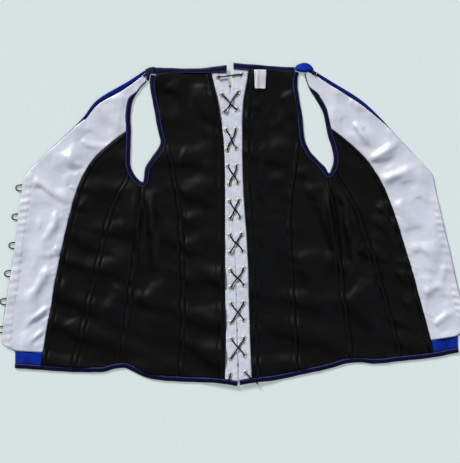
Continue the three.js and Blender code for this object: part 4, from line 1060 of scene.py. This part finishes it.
# Pieces of one half
# Section of a binding from its inner edge outwards: share of its width, height
BINDING_SECTION = [
    (-0.12, 2.35), (-0.11, 2.85), (0.02, 3.35), (0.22, 3.75), (0.45, 3.8), (0.68, 3.4), (0.88, 2.6),
    (1.0, 1.6), (0.99, 0.7), (0.9, 0.1), (0.5, 0.0), (0.08, 0.0), (0.08, 2.1),
]


def binding(name, half, edge, outward, width):
    """A bias binding folded round an edge, a little uneven along its length; returns its length too."""
    edge = np.asarray(edge, float)
    width = np.broadcast_to(width, (len(edge),))
    base = height(half, edge[:, 0], edge[:, 1])
    reach = reach_of(edge)
    rings, uvs = [], []
    for p, n, w, z, s in zip(edge, outward, width, base, reach):
        full = 1 + 0.05 * math.sin(s / 6.1 + half["phase"])
        full = full + 0.04 * math.sin(s / 2.7) + 0.05 * math.sin(s / 17.0)
        pull = 0.28 * math.sin(s / 4.3 + 1.1 * math.sin(s / 19.0))
        narrow = 0.55 + 0.45 * min(1.0, w / BINDING_WIDTH)
        ring = []
        for out, up in BINDING_SECTION:
            tall = up * full if out > 0 and up > 0.5 else up
            pull_share = 0.5 if out > 0.6 else (0.4 if out < 0 else 0.2)
            ring.append((*(p + n * (out * (w + GAP) + pull * pull_share)), z + tall * narrow))
        rings.append(ring)
        uvs.append([(s, j / len(BINDING_SECTION)) for j in range(len(BINDING_SECTION))])
    return sweep(name, rings, [BINDING], uvs=uvs, node=name, slot="navy_binding"), reach[-1]


# Section of a channel: share of its width, height; the two stitched places are rows of this table
CHANNEL_SECTION = [
    (0.0, 0.0), (0.01, 0.5), (0.07, 0.75), (0.15, 0.4), (0.24, 0.95), (0.36, 1.25), (0.5, 1.32), (0.64, 1.25),
    (0.76, 0.95), (0.85, 0.4), (0.93, 0.75), (0.99, 0.5), (1.0, 0.0),
]
STITCHED_ROWS = (3, 9)
CHANNEL_LIFT = 0.12
CHANNEL_END_RUN = 9.0


def channel(name, half, first_side, second_side, rests_on, stitches):
    """A tape sewn down over a bone, between two lines, with its stitches left in a list."""
    reach = reach_of(first_side)
    across, up = np.array(CHANNEL_SECTION).T[:, None, :]
    plan = first_side[:, None] + (second_side - first_side)[:, None] * across[..., None]
    x, y = plan[..., 0], plan[..., 1]
    s = reach[:, None]
    pucker = 1 + 0.10 * np.sin(s / 2.3 + 4 * across) + 0.08 * np.sin(s / 7.0 + half["phase"])
    end = smooth(np.minimum(s, reach[-1] - s) / CHANNEL_END_RUN) * 0.85 + 0.15
    z = height(half, x, y) + PANEL_WALL + lining_relief(half, x, y) + CHANNEL_LIFT + up * pucker * end
    rings = np.concatenate([plan, z[..., None]], -1)
    uvs = np.stack(np.broadcast_arrays(s, np.arange(len(CHANNEL_SECTION)) / len(CHANNEL_SECTION)), -1)
    obj = sweep(name, rings, [TAPE], uvs=uvs, node=name, slot="bone_channel")
    declare_sheet(obj, CHANNEL_CUT_WIDTH, reach[-1] * TAPE_ALLOWANCE, [rests_on], held="stretched")
    stitches.extend(rings[:, row, :] for row in STITCHED_ROWS)


# Places along a thread of a stitch: share of half its length, height over its ends' lift, thickness
THREAD_PLACES = [(-1, -0.25, 0.55), (-0.5, 0.75, 1.0), (0, 1.0, 1.0), (0.5, 0.75, 1.0), (1, -0.25, 0.55)]
THREAD_SIDES = 4


def stitch_rows(name, rows, material, slot, pitch=3.0, long=2.1, radius=0.24, lift=0.10):
    """Short threads along rows of points, as one piece."""
    verts, faces, uvs = [], [], []
    shares = np.array([place[0] for place in THREAD_PLACES])
    for row in rows:
        line = line_of(row)
        count = max(1, int(line.length / pitch))
        for k in range(count):
            centres = line((k + 0.5) / count + shares * long / 2 / line.length)
            along = centres[-1] - centres[0]
            along = along / (np.linalg.norm(along) + 1e-9)
            side = np.cross([0, 0, 1.0], along)
            side = side / (np.linalg.norm(side) + 1e-9)
            up = np.cross(along, side)
            base = len(verts)
            for place, (centre, (_, rise, thick)) in enumerate(zip(centres, THREAD_PLACES)):
                r = radius * thick
                for angle in range(THREAD_SIDES):
                    c, s = math.cos(math.pi / 2 * angle), math.sin(math.pi / 2 * angle)
                    verts.append(centre + side * r * c + up * (r * s + lift * rise))
                    uvs.append((place, angle))
            for place in range(len(THREAD_PLACES) - 1):
                for angle in range(THREAD_SIDES):
                    a = base + place * THREAD_SIDES + angle
                    b = base + place * THREAD_SIDES + (angle + 1) % THREAD_SIDES
                    faces.append((a, b, b + THREAD_SIDES, a + THREAD_SIDES))
            faces.append((base + 3, base + 2, base + 1, base))
            end = len(verts)
            faces.append((end - 4, end - 3, end - 2, end - 1))
    return add_piece(name, np.array(verts), faces, [material], uvs=uvs, slot=slot)


# Lowest height of the lining, how far its edges turn down, its least thickness, and the hollow under it
LINING_LOWEST = 0.9
LINING_TURN = 0.7
UNDER_TURN = 0.6
LEAST_WALL = 0.7
UNDER_RISE, UNDER_MOST = 0.35, 1.4


def panel(name, half, surfaces, columns, size):
    """One lining panel with the velvet under it: black above, velvet below, turned down at its seams."""
    parts = []
    for number, surface in enumerate(surfaces):
        grids = plan_grid(surface, columns, PANEL_ROWS[number])
        parts.append([grid[min(number, 1):] for grid in grids])
    plan, first, last = (np.concatenate(grids) for grids in zip(*parts))
    x, y = plan[..., 0], plan[..., 1]
    base = height(half, x, y)
    high = np.maximum(base + PANEL_WALL + lining_relief(half, x, y), LINING_LOWEST)
    high = high - rolled(first, last, LINING_TURN)
    under = UNDER_RISE + unevenness(x, y, half["phase"] + 2.0, 38.0, 0.14) + rolled(first, last, UNDER_TURN)
    low = np.maximum(np.minimum(base + np.clip(under, 0.0, UNDER_MOST), high - LEAST_WALL), 0.0)
    high = np.maximum(high, low + 0.4)
    obj = slab(name, plan, low, high, [LINING, VELVET], node=name, slot="satin_lining")
    declare_sheet(obj, *size)
    return obj


# Lining panels by the seam that each starts at: name, columns, largest share of its width for a channel
PANELS = {
    "a": ("side_front", 46, 0.3), "b": ("side_panel", 54, 0.3), "c": ("side_back", 62, 0.14),
    "d": ("back_panel", 62, 0.2),
}
# Sides of the channel beside the lacing: distance from its seam, largest share of the panel's width
BACK_CHANNEL_LINES = [(12.0, 0.16), (4.0, 0.06)]
# Rows of a panel's lower and upper surface, rows of a channel on each, and where a channel starts across
PANEL_ROWS = (124, 50)
CHANNEL_ROWS = (120, 50)
CHANNEL_START = 0.004


def build_lining(half, geo):
    """The lining panels and the channels at their seams; returns the back panel."""
    name = half["name"]
    stitches = []
    v = np.linspace(0, 1, CHANNEL_ROWS[0])
    for seam, (label, columns, cap) in PANELS.items():
        surfaces = geo["surfaces"][seam]
        surface = surfaces[0]
        width = width_of(surface, v)
        long = reach_of(surface(np.full_like(v, 0.5), v))[-1]
        size = BACK_CUT if seam == "d" else (width.max() * WIDTH_ALLOWANCE, long * LENGTH_ALLOWANCE)
        obj = panel(f"{label}_{name}", half, surfaces, columns, size)
        channel(f"bone_channel_{seam}_{name}", half, surface(np.full_like(v, CHANNEL_START), v),
                surface(np.minimum(CHANNEL_WIDTH / width, cap), v), obj, stitches)
    sides = []
    for inset, cap in BACK_CHANNEL_LINES:
        parts = []
        for number, surface in enumerate(geo["surfaces"]["d"]):
            v = np.linspace(0, 1, CHANNEL_ROWS[number])[number:]
            parts.append(surface(1 - np.minimum(inset / width_of(surface, v), cap), v))
        sides.append(np.concatenate(parts))
    channel(f"bone_channel_e_{name}", half, *sides, obj, stitches)
    stitch_rows(f"channel_stitching_{name}", stitches, BLACK_THREAD, "bone_channel")
    return obj


# Share of the front seam below the facing, and how far up its slanting lower edge is felt
FACING_START = 0.056
FACING_FOOT_RUN = 26.0
# Fall of the facing at its outer and inner edge, its least thickness, and the most its underside follows
OUTER_FALL, OUTER_FALL_WIDTH = 0.25, 3.5
INNER_FALL, INNER_FALL_WIDTH = 0.55, 1.8
FACING_LEAST = 0.35
FACING_UNDER_MOST = 0.3
# Columns of the shell in its visible edge and in the rest, and rows of the tab below the facing
EDGE_COLUMNS = 6
SHELL_COLUMNS = 15
TAB_ROWS = 9
RIM_HEIGHT = 2.3
TAB_LIFT = 0.5


def build_front(half, geo):
    """The velvet shell up to the shoulder, the white facing over it, and the placket's stitches."""
    name = half["name"]
    inner_low = line_of(geo["line"]["a"])(np.linspace(FACING_START, 1, 190))
    inner_high = line_of(stretch(geo["arm"], "a", "front"))(np.linspace(0, 1, 84))[1:]
    inner = np.concatenate([inner_low, inner_high])
    outer_y = table_value(half["front_rows"], inner[:, 1])
    outer = np.stack([seam_x(half, "front", outer_y), outer_y], -1)
    wide = np.linalg.norm(inner - outer, axis=1)
    sliver = (table_value(half["sliver"], outer_y) / wide)[:, None]
    blend = 1 - smooth(reach_of(inner) / FACING_FOOT_RUN)
    hem_target = line_of(half["facing_hem"])

    def front_plan(full):
        """Plan points of the front, for shares of the way from the outer edge to the inner one."""
        plan = outer[:, None] * (1 - full[..., None]) + inner[:, None] * full[..., None]
        across = np.clip((full - sliver) / (1 - sliver), 0, 1)
        return plan + (hem_target(across[0]) - plan[0])[None] * blend[:, None, None]

    # The facing, with a close column beside each edge
    close = np.minimum(1.6 / wide, 0.08)[:, None]
    middle = np.linspace(0, 1, 52)[None] * (1 - 2 * close) + close
    shares = np.concatenate([0 * close, middle, 0 * close + 1], 1)
    plan = front_plan(sliver + (1 - sliver) * shares)
    x, y = plan[..., 0], plan[..., 1]
    base = height(half, x, y) + SHELL_WALL + GAP
    from_outer = np.linalg.norm(plan - plan[:, :1], axis=-1)
    from_inner = np.linalg.norm(plan - plan[:, -1:], axis=-1)
    fall = OUTER_FALL * (1 - smooth(from_outer / OUTER_FALL_WIDTH))
    fall = fall + INNER_FALL * (1 - smooth(from_inner / INNER_FALL_WIDTH))
    relief = facing_relief(half, x, y)
    high = base + FACING_WALL + relief - fall
    low = base + np.minimum(relief * 0.6, FACING_UNDER_MOST) - fall * 0.3
    low = np.maximum(np.minimum(low, high - FACING_LEAST), base - GAP)
    high = np.maximum(high, low + FACING_LEAST)
    facing = slab(f"front_facing_{name}", plan, low, high, [SATIN], node=f"front_facing_{name}",
                  slot="white_satin")

    # The shell: its visible edge, the rest under the facing, and the tab below
    full = np.concatenate([np.linspace(0, 1, EDGE_COLUMNS + 1)[None] * sliver,
                           sliver + (1 - sliver) * np.linspace(0, 1, SHELL_COLUMNS + 1)[None, 1:]], 1)
    plan = front_plan(full)
    hem = half["hem"]
    shares = np.linspace(0, 1, plan.shape[1])
    tab_x = hem[0][0] + (geo["foot"]["a"][0] - hem[0][0]) * shares
    tab_foot = np.stack([tab_x, table_value(hem, tab_x)], -1)
    top_x = hem[0][0] + (inner[0][0] - hem[0][0]) * shares
    tab_top = np.stack([top_x, table_value(half["facing_hem"], top_x) - 1], -1)
    tab_top[-1] = inner[0] - [0, 1]
    tab = np.array([tab_foot * (1 - t) + tab_top * t for t in np.linspace(0, 1, TAB_ROWS)])
    plan = np.concatenate([tab, plan])
    x, y = plan[..., 0], plan[..., 1]
    base = height(half, x, y)
    in_sliver = np.concatenate([np.zeros(tab.shape[:2]), np.clip(1 - full / np.maximum(sliver, 1e-4), 0, 1)])
    rim_size = np.concatenate([np.zeros((TAB_ROWS, 1)), smooth(sliver * wide[:, None] / 4.0)])
    rim = rim_size * RIM_HEIGHT * np.sin(math.pi * np.clip(in_sliver * 0.94 + 0.03, 0, 1)) * (in_sliver > 0)
    rim = rim * (1 + 0.10 * np.sin(y / 5.2) + 0.08 * np.sin(y / 2.1 + 1.0))
    on_tab = (np.arange(len(plan)) < TAB_ROWS)[:, None]
    high = base + SHELL_WALL + rim + on_tab * (TAB_LIFT + unevenness(x, y, 1.7, 19.0, 0.35))
    low = base + np.clip(0.3 + unevenness(x, y, half["phase"] + 4.0, 44.0, 0.12), 0, 1.1)
    shell = slab(f"front_shell_{name}", plan, low, high, [VELVET, VELVET_SHADE, VELVET],
                 node=f"front_shell_{name}", slot="blue_velvet")
    # The faces of the shell's visible edge take the darker velvet, painted shade of its pile seen edge-on
    for row in range(TAB_ROWS, len(plan) - 1):
        for column in range(EDGE_COLUMNS):
            shell.data.polygons[row * (plan.shape[1] - 1) + column].material_index = 1
    declare_sheet(shell, *SHELL_CUT)
    declare_sheet(facing, *FACING_CUT, [shell])

    x, y = spaced(catmull(half["placket"], 8), 2.0).T
    placket = np.stack([x, y, height(half, x, y) + FACING_TOP + facing_relief(half, x, y)], -1)
    stitch_rows(f"placket_stitching_{name}", [placket], WHITE_THREAD, "white_satin", 3.4, 2.3, 0.22, 0.08)


# Columns and rows of a lacing strip, its eyelet holes, and the flat cloth round each
STRIP_COLUMNS, STRIP_ROWS = 18, 330
HOLE_RADIUS = 3.35
FLAT_RADIUS, FLAT_RUN = 4.4, 2.0


def build_strip(half, geo):
    """The lacing strip, puckered round its eyelets."""
    name, side = half["name"], half["side"]
    seam_side = np.concatenate([geo["line"]["e"], geo["inner_up"][1:]]) + [-side * GAP, 0]
    free_y = np.linspace(geo["foot"]["cb"][1], geo["neck_cb"][1], 80)
    free = np.stack([seam_x(half, "cb", free_y), free_y], -1)
    bottom = hem_line(half, seam_side[0][0], free[0][0])
    u, v = np.meshgrid(np.linspace(0, 1, STRIP_COLUMNS + 1), np.linspace(0, 1, STRIP_ROWS + 1))
    plan = patch(seam_side, free, bottom, [seam_side[-1], free[-1]])(u, v)
    x, y = plan[..., 0], plan[..., 1]
    centre = (plan[:-1, :-1] + plan[1:, 1:]) / 2
    centres = [row[:2] if side < 0 else row[2:] for row in EYELETS]
    pull = np.zeros_like(x)
    nearest = np.full(x.shape, 1e9)
    keep = np.ones(centre.shape[:2], bool)
    for cx, cy in centres:
        r = np.hypot(x - cx, y - cy)
        nearest = np.minimum(nearest, r)
        pull += 0.16 * np.exp(-((r - 7) / 4.0) ** 2) * np.sin(5 * np.arctan2(y - cy, x - cx) + cy)
        keep &= np.hypot(centre[..., 0] - cx, centre[..., 1] - cy) > HOLE_RADIUS
    base = STRIP_FLOOR + half["over"] * strip_lift(y)
    edge = np.minimum(u, 1 - u) * 20
    waves = 0.24 * np.sin(y / 3.9 + 0.2 * x + 1.3 * np.sin(y / 29.0))
    relief = (pull * 1.6 + waves - 0.35 * smooth(1 - edge)) * smooth((nearest - FLAT_RADIUS) / FLAT_RUN)
    low, high = base + np.maximum(0, relief * 0.4), base + STRIP_WALL + relief
    strip = slab(f"lacing_strip_{name}", plan, low, high, [SATIN], keep=keep, node=f"lacing_strip_{name}",
                 slot="white_satin")
    eyelets = add_eyelets(f"eyelets_{name}", half, centres)
    declare_sheet(strip, *STRIP_CUT, ["lace"], with_pieces=[eyelets])


def build_bindings(half, geo, back):
    """The bindings of the hem, the armhole and the neck."""
    arm = geo["arm"]
    turn = -half["side"]
    hem = spaced(hem_line(half, half["hem"][0][0], geo["foot"]["cb"][0], 300), 2.6)
    neck = spaced([tuple(p) for p in geo["neck"]] + [tuple(geo["neck_cb"])], 2.5)
    neck_width = table_value(half["neck_outer"], neck[:, 0]) - neck[:, 1] - GAP
    for place, edge, outward, width, cut in (
            ("hem", hem, normals_of(hem, turn), BINDING_WIDTH, BINDING_CUT_WIDTH),
            ("armhole", arm["edge"], -arm["outward"], arm["width"], BINDING_CUT_WIDTH),
            ("neck", neck, np.broadcast_to([0.0, 1.0], neck.shape), neck_width, NECK_BINDING_CUT_WIDTH)):
        obj, long = binding(f"{place}_binding_{half['name']}", half, edge, outward, width)
        declare_sheet(obj, cut, long * TAPE_ALLOWANCE, [back], held="folded")


def build_half(half):
    """All pieces of one half, in the order in which they lie on each other."""
    geo = geometry_of(half)
    back = build_lining(half, geo)
    build_front(half, geo)
    build_strip(half, geo)
    build_bindings(half, geo, back)
    shoulder(half)
    shoulder_strap(half)


# Section of an eyelet, all round: distance from its centre, height over the strip
EYELET_PROFILE = [
    (2.3, -1.75), (2.3, 0.2), (2.5, 0.5), (3.0, 0.64), (3.7, 0.5), (4.25, 0.16), (4.4, -0.06), (4.1, -0.12),
    (2.8, -0.1), (2.8, -1.5), (4.1, -1.5), (4.15, -1.68), (3.2, -1.95),
]
EYELET_SIDES = 22


def add_eyelets(name, half, centres):
    """Rolled metal eyelets through a strip, as one piece."""
    verts, faces, uvs = [], [], []
    around, section = EYELET_SIDES, len(EYELET_PROFILE)
    for cx, cy in centres:
        top = STRIP_FLOOR + half["over"] * float(strip_lift(cy)) + STRIP_WALL
        base = len(verts)
        for k in range(around):
            angle = 2 * math.pi * k / around
            for r, z in EYELET_PROFILE:
                verts.append((cx + r * math.cos(angle), cy + r * math.sin(angle), top + z))
                uvs.append((k, r))
        for k in range(around):
            n = (k + 1) % around
            for j in range(section):
                m = (j + 1) % section
                faces.append((base + k * section + j, base + n * section + j,
                              base + n * section + m, base + k * section + m))
    return add_piece(name, np.array(verts), faces, [NICKEL], uvs=uvs, slot="loop_wire")


# Rings of the shoulder's lump from its foot up: how far in, share of its height
SHOULDER_RINGS = [(0.0, 0.0), (-0.01, 0.2), (0.0, 0.5), (0.08, 0.76), (0.24, 0.93), (0.5, 1.02), (0.75, 1.04)]


def shoulder(half):
    """The shell's fold at the shoulder seam: a soft rounded lump of velvet, with painted shade in a darker
    cloth on its lower rings.
    """
    corners = [tuple(p) for p in half["shoulder"]]
    outline = np.array(catmull(corners + corners[:1], 8)[:-1])
    middle = outline.mean(axis=0)
    rings = []
    for inset, up in SHOULDER_RINGS:
        p = outline + (middle - outline) * inset
        lump = 1 + 0.07 * np.sin(p[:, 0] / 2.1 + p[:, 1] / 3.3) + 0.05 * np.sin(p[:, 1] / 1.4)
        rings.append(np.concatenate([p, (up * SHOULDER_RISE * lump)[:, None]], 1))
    node = f"shoulder_fold_{half['name']}"
    # The lower rings take a darker cloth as painted shade: the navy strap cloth on the left, where it covers
    # the whole lump, and the shaded velvet on the right, on its three lowest bands
    shade_cloth = STRAP if half["name"] == "left" else VELVET_SHADE
    obj = sweep(node, rings, [VELVET, shade_cloth], node=node, slot="blue_velvet")
    for polygon in obj.data.polygons[:half["shaded_rings"] * len(outline)]:
        polygon.material_index = 1
    size = outline.max(axis=0) - outline.min(axis=0)
    declare_sheet(obj, size[0] * 1.5, size[1] * 1.6, [], held="folded")


# Straps that show beside the shoulder folds, and the stitches at their ends: [x, y] from end to end
STRAPS = {
    "left": [[-143.6, 237.8], [-137.6, 244], [-131, 249.4]],
    "right": [[117.2, 248.6], [125.6, 244.4], [133.6, 238.8]],
}
STRAP_STITCHES = {"left": [[-145.2, 236.8], [-138, 242.4]], "right": [[130.2, 236.8], [135, 241.8]]}
STRAP_WIDTH = 5.4
STRAP_RISE = 1.3
# Section of a strap: share of its width, share of its rise
STRAP_SECTION = [(-0.5, -0.8), (-0.52, 0.5), (-0.4, 0.95), (0.0, 1.05), (0.4, 0.95), (0.52, 0.5), (0.5, -0.8)]


def shoulder_strap(half):
    """The end of the shoulder's strap, lying on the facing, with white stitches across it."""
    name = half["name"]
    middle = spaced(catmull(STRAPS[name], 6), 0.8)
    normal = normals_of(middle, 1)

    def on_facing(p, rise):
        level = height(half, p[:, 0], p[:, 1]) + FACING_TOP + rise
        return np.concatenate([p, level[:, None]], 1)

    lines = [on_facing(middle + normal * across * STRAP_WIDTH, up * STRAP_RISE)
             for across, up in STRAP_SECTION]
    sweep(f"shoulder_strap_{name}", np.stack(lines, 1), [STRAP], slot="blue_velvet")
    row = on_facing(spaced(STRAP_STITCHES[name], 1.0), STRAP_RISE * 1.05)
    stitch_rows(f"strap_stitching_{name}", [row], WHITE_THREAD, "white_satin", 2.4, 1.8, 0.45)


# The lace: one cord, from its left free end up one side of the crossings and down the other
# Where it leaves an eyelet's lip, and where it bends between two eyelets
LIP_REACH = 0.8
BEND_SHARE = 0.26
LACE_FLOOR = LACE_RADIUS + 0.05
# Rise of one strand over the other where they cross, what of it is needed above, and sideways bow
LACE_CROSSING = 2 * LACE_RADIUS + 0.12
SHOWN_CROSSING = 0.85
LACE_BOW = 1.1
LACE_OVER_HEM = 3.2
# The free ends from the lowest eyelets: x, y and z from the eyelet and the hem's top
LEFT_FREE_END = [[-3.4, -12, -0.4], [-2.6, -7, 0]]
RIGHT_FREE_END = [[6, -5.5, 0], [12, -11, 0], [17, -14.6, 0], [20.4, -18.4, -1.4]]
OTHER = {"left": "right", "right": "left"}


def lace_path():
    """Places that the lace goes through, in order."""
    points = []

    def eyelet(which, k):
        return np.array(EYELETS[k][:2] if which == "left" else EYELETS[k][2:], float)

    def strip_top(which, y):
        over = STRIP_OVERLAP_LIFT * float(strip_lift(y)) if which == "right" else 0
        return STRIP_FLOOR + STRIP_WALL + over

    def top_level(y):
        return strip_top("right", y) + EYELET_RISE + LACE_RADIUS

    def in_hole(which, k):
        p = eyelet(which, k)
        points.append((p[0], p[1], strip_top(which, p[1]) - STRIP_WALL / 2))

    def free_end(which, places):
        x, y = eyelet(which, len(EYELETS) - 1)
        top = STRIP_FLOOR + LACE_OVER_HEM + LACE_RADIUS
        points.extend((x + dx, y + dy, top + dz) for dx, dy, dz in places)

    def beside(which, dx, dy):
        x, y = eyelet(which, len(EYELETS) - 1)
        points.append((x + dx, y + dy, top_level(y)))

    def cross(which, k, to, above, over):
        """One strand across to the other side, above or under the strips, over its partner or not."""
        a, b = eyelet(which, k), eyelet(OTHER[which], to)
        along = unit(b - a)
        bow = LACE_BOW * math.sin(2.3 * a[1] + a[0]) * above
        aside = np.array([-along[1], along[0]]) * bow
        drop = LACE_CROSSING * (SHOWN_CROSSING if above else 1.0)
        near, far = a * (1 - BEND_SHARE) + b * BEND_SHARE, a * BEND_SHARE + b * (1 - BEND_SHARE)
        for p, shift in ((a + along * LIP_REACH, 0), (near + aside, 0), ((a + b) / 2 + aside * 0.3, over),
                         (far - aside, 0), (b - along * LIP_REACH, 0)):
            level = top_level(p[1]) if above else LACE_FLOOR
            points.append((p[0], p[1], level + shift * drop))
        in_hole(OTHER[which], to)
        return OTHER[which]

    last = len(EYELETS) - 1
    free_end("left", LEFT_FREE_END)
    beside("left", -0.3, -1.6)
    in_hole("left", last)
    which = "left"
    for k in range(last, 0, -1):
        which = cross(which, k, k - 1, k % 2 == 0, which == "left")
    which = cross(which, 0, 0, True, False)
    for k in range(last):
        which = cross(which, k, k + 1, k % 2 == 1, which == "right")
    beside("right", 0.8, -0.6)
    free_end("right", RIGHT_FREE_END)
    return points


LACE_SIDES = 10
LACE_STEP = 1.5
END_TAPER = 1.5


def build_lace():
    """The lace as one cord, a little thicker where it shows."""
    path = spaced(catmull(lace_path(), 6), LACE_STEP)
    reach = reach_of(path)
    path[:, 2] = np.maximum(path[:, 2], LACE_FLOOR)
    radius = LACE_RADIUS + (LACE_SHOWN_RADIUS - LACE_RADIUS) * smooth((path[:, 2] - STRIP_FLOOR) / 1.5)
    radius = radius * np.clip(np.minimum(reach, reach[-1] - reach) / END_TAPER, 0.35, 1.0)
    uvs = [[(s, j / LACE_SIDES) for j in range(LACE_SIDES)] for s in reach]
    obj = sweep("lace", tube_rings(path, radius, LACE_SIDES), [CORD], uvs=uvs, node="lace", slot="lace_cord")
    exit_point = to_metres([[*EYELETS[-1][:2], STRIP_FLOOR + STRIP_WALL]])[0]
    [tuple(p) for p in to_metres(path)]


# Power that squares the loops' round ends a little, and places along their legs under the facing
LOOP_SQUARE = 0.75
LOOP_LEGS = (7.0, 4.0, 1.5)
LOOP_LIFT = 0.1


def build_loops():
    """Dark wire loops that stand out from the left front edge, with their legs between shell and facing."""
    for index, y in enumerate(LOOP_HEIGHTS):
        points = []
        for angle in np.linspace(-math.pi / 2, math.pi / 2, 23):
            out = LOOP_REACH * max(math.cos(angle), 0.0) ** LOOP_SQUARE
            across = LOOP_WIDTH / 2 * math.copysign(abs(math.sin(angle)) ** LOOP_SQUARE, math.sin(angle))
            edge_x = float(seam_x(LEFT, "front", y + across)) - 0.2
            z = float(height(LEFT, edge_x, y)) + LOOP_SHOWN_RADIUS + LOOP_LIFT
            points.append((edge_x - out, y + across, z))
        first, last = points[0], points[-1]
        legs = [(first[0] + d, first[1] + 0.06 * d, first[2]) for d in LOOP_LEGS]
        ends = [(last[0] + d, last[1] - 0.06 * d, last[2]) for d in LOOP_LEGS[::-1]]
        rings = tube_rings(spaced(catmull(legs + points + ends, 2), 0.8), LOOP_SHOWN_RADIUS, 10)
        name = f"eye_loop_{index + 1}"
        sweep(name, rings, [WIRE], node=name, slot="loop_wire")


# The label: its sides, its two ends, its taper, and its round corners with their share of its length
LABEL_LEFT, LABEL_RIGHT = 34, 53.5
LABEL_LOW, LABEL_HIGH = 216.8, 246.4
LABEL_TAPER = 1.4
LABEL_CORNER, LABEL_CORNER_SHARE = 2.0, 0.07
LABEL_ROWS, LABEL_CORNER_ROWS, LABEL_COLUMNS = 19, 7, 16
LABEL_WALL = 0.5


def build_label():
    """A blank woven label held under the neck binding."""
    corner_rows = np.linspace(0, LABEL_CORNER_SHARE, LABEL_CORNER_ROWS)
    heights = np.concatenate([corner_rows, np.linspace(LABEL_CORNER_SHARE, 1, LABEL_ROWS)[1:]])
    u, v = np.meshgrid(np.linspace(0, 1, LABEL_COLUMNS + 1), heights)
    corner = np.clip(1 - v / LABEL_CORNER_SHARE, 0, 1)
    taper = LABEL_TAPER * (1 - v) + LABEL_CORNER * (1 - np.sqrt(1 - corner ** 2))
    x = (LABEL_LEFT + taper) * (1 - u) + (LABEL_RIGHT - taper) * u
    y = LABEL_LOW + (LABEL_HIGH - LABEL_LOW) * v + 0.4 * np.sin(3 * u)
    # It rises over the channel beside the lacing, and curls a little at its lower end
    over_channel = 2.1 * (1 - smooth((x - 37.5) / 7.0))
    curl = 0.35 * np.sin(math.pi * u) * (1 - v) + 0.6 * (1 - smooth(v / 0.12))
    base = height(RIGHT, x, y) + PANEL_WALL + lining_relief(RIGHT, x, y) + 0.7 + over_channel + curl
    rib = 0.05 * np.sin(2 * math.pi * v * 18)
    obj = slab("care_label", np.stack([x, y], -1), base, base + LABEL_WALL + rib, [LABEL], node="care_label",
               slot="label_tape")
    declare_sheet(obj, *LABEL_CUT, [made["back_panel_right"]], held="hung")


build_half(LEFT)
build_half(RIGHT)
build_lace()
build_loops()
build_label()


# Floor, light and colour
FLOOR_SIZE = 12
FLOOR_LEVEL = -0.0008
FLOOR_DARK = (0.679, 0.759, 0.752)
FLOOR_LIGHT = (0.689, 0.769, 0.762)
# Share of the floor's brightness that it gives off itself, as a light table does, which softens the shadows
FLOOR_GLOW = 0.4
WORLD_COLOUR = (0.97, 0.985, 1.0, 1)
WORLD_STRENGTH = 0.12
# Broad soft lamps: the side that each stands on, strength, spread in degrees, colour
SUNS = [
    ("key", (-0.50, 0.80, 0.60), 4.22, 18, (1.0, 0.995, 0.985)),
    ("fill", (0.75, -0.35, 0.75), 0.82, 50, (0.84, 0.91, 1.0)),
]


def floor_and_light():
    """A pale surface under the garment, a dim world and two lamps."""
    mat, tree, shader = new_material("pale_floor")
    tone = noise_of(tree, object_place(tree), 3.0)
    for share, socket in ((1 - FLOOR_GLOW, "Base Color"), (FLOOR_GLOW, "Emission Color")):
        stops = [(0.3, tuple(c * share for c in FLOOR_DARK)), (0.7, tuple(c * share for c in FLOOR_LIGHT))]
        link_all(tree, shader, {socket: ramp_of(tree, tone, stops)})
    set_values(shader, {"Emission Strength": 1.0, "Roughness": 0.95, "Specular IOR Level": 0.1})
    bpy.ops.mesh.primitive_plane_add(size=FLOOR_SIZE, location=(0, 0, FLOOR_LEVEL))
    floor = bpy.context.object
    floor.name = "floor"
    floor.data.materials.append(mat)
    world = bpy.data.worlds.new("studio")
    bpy.context.scene.world = world
    world.use_nodes = True
    set_values(world.node_tree.nodes["Background"], {"Color": WORLD_COLOUR, "Strength": WORLD_STRENGTH})
    for name, direction, strength, spread, colour in SUNS:
        data = bpy.data.lights.new(name, "SUN")
        data.energy = strength
        data.angle = math.radians(spread)
        data.color = colour
        light = bpy.data.objects.new(name, data)
        light.location = direction
        light.rotation_mode = "QUATERNION"
        light.rotation_quaternion = Vector(direction).to_track_quat("Z", "Y")
        bpy.context.scene.collection.objects.link(light)
    bpy.context.scene.view_settings.view_transform = "Standard"


floor_and_light()
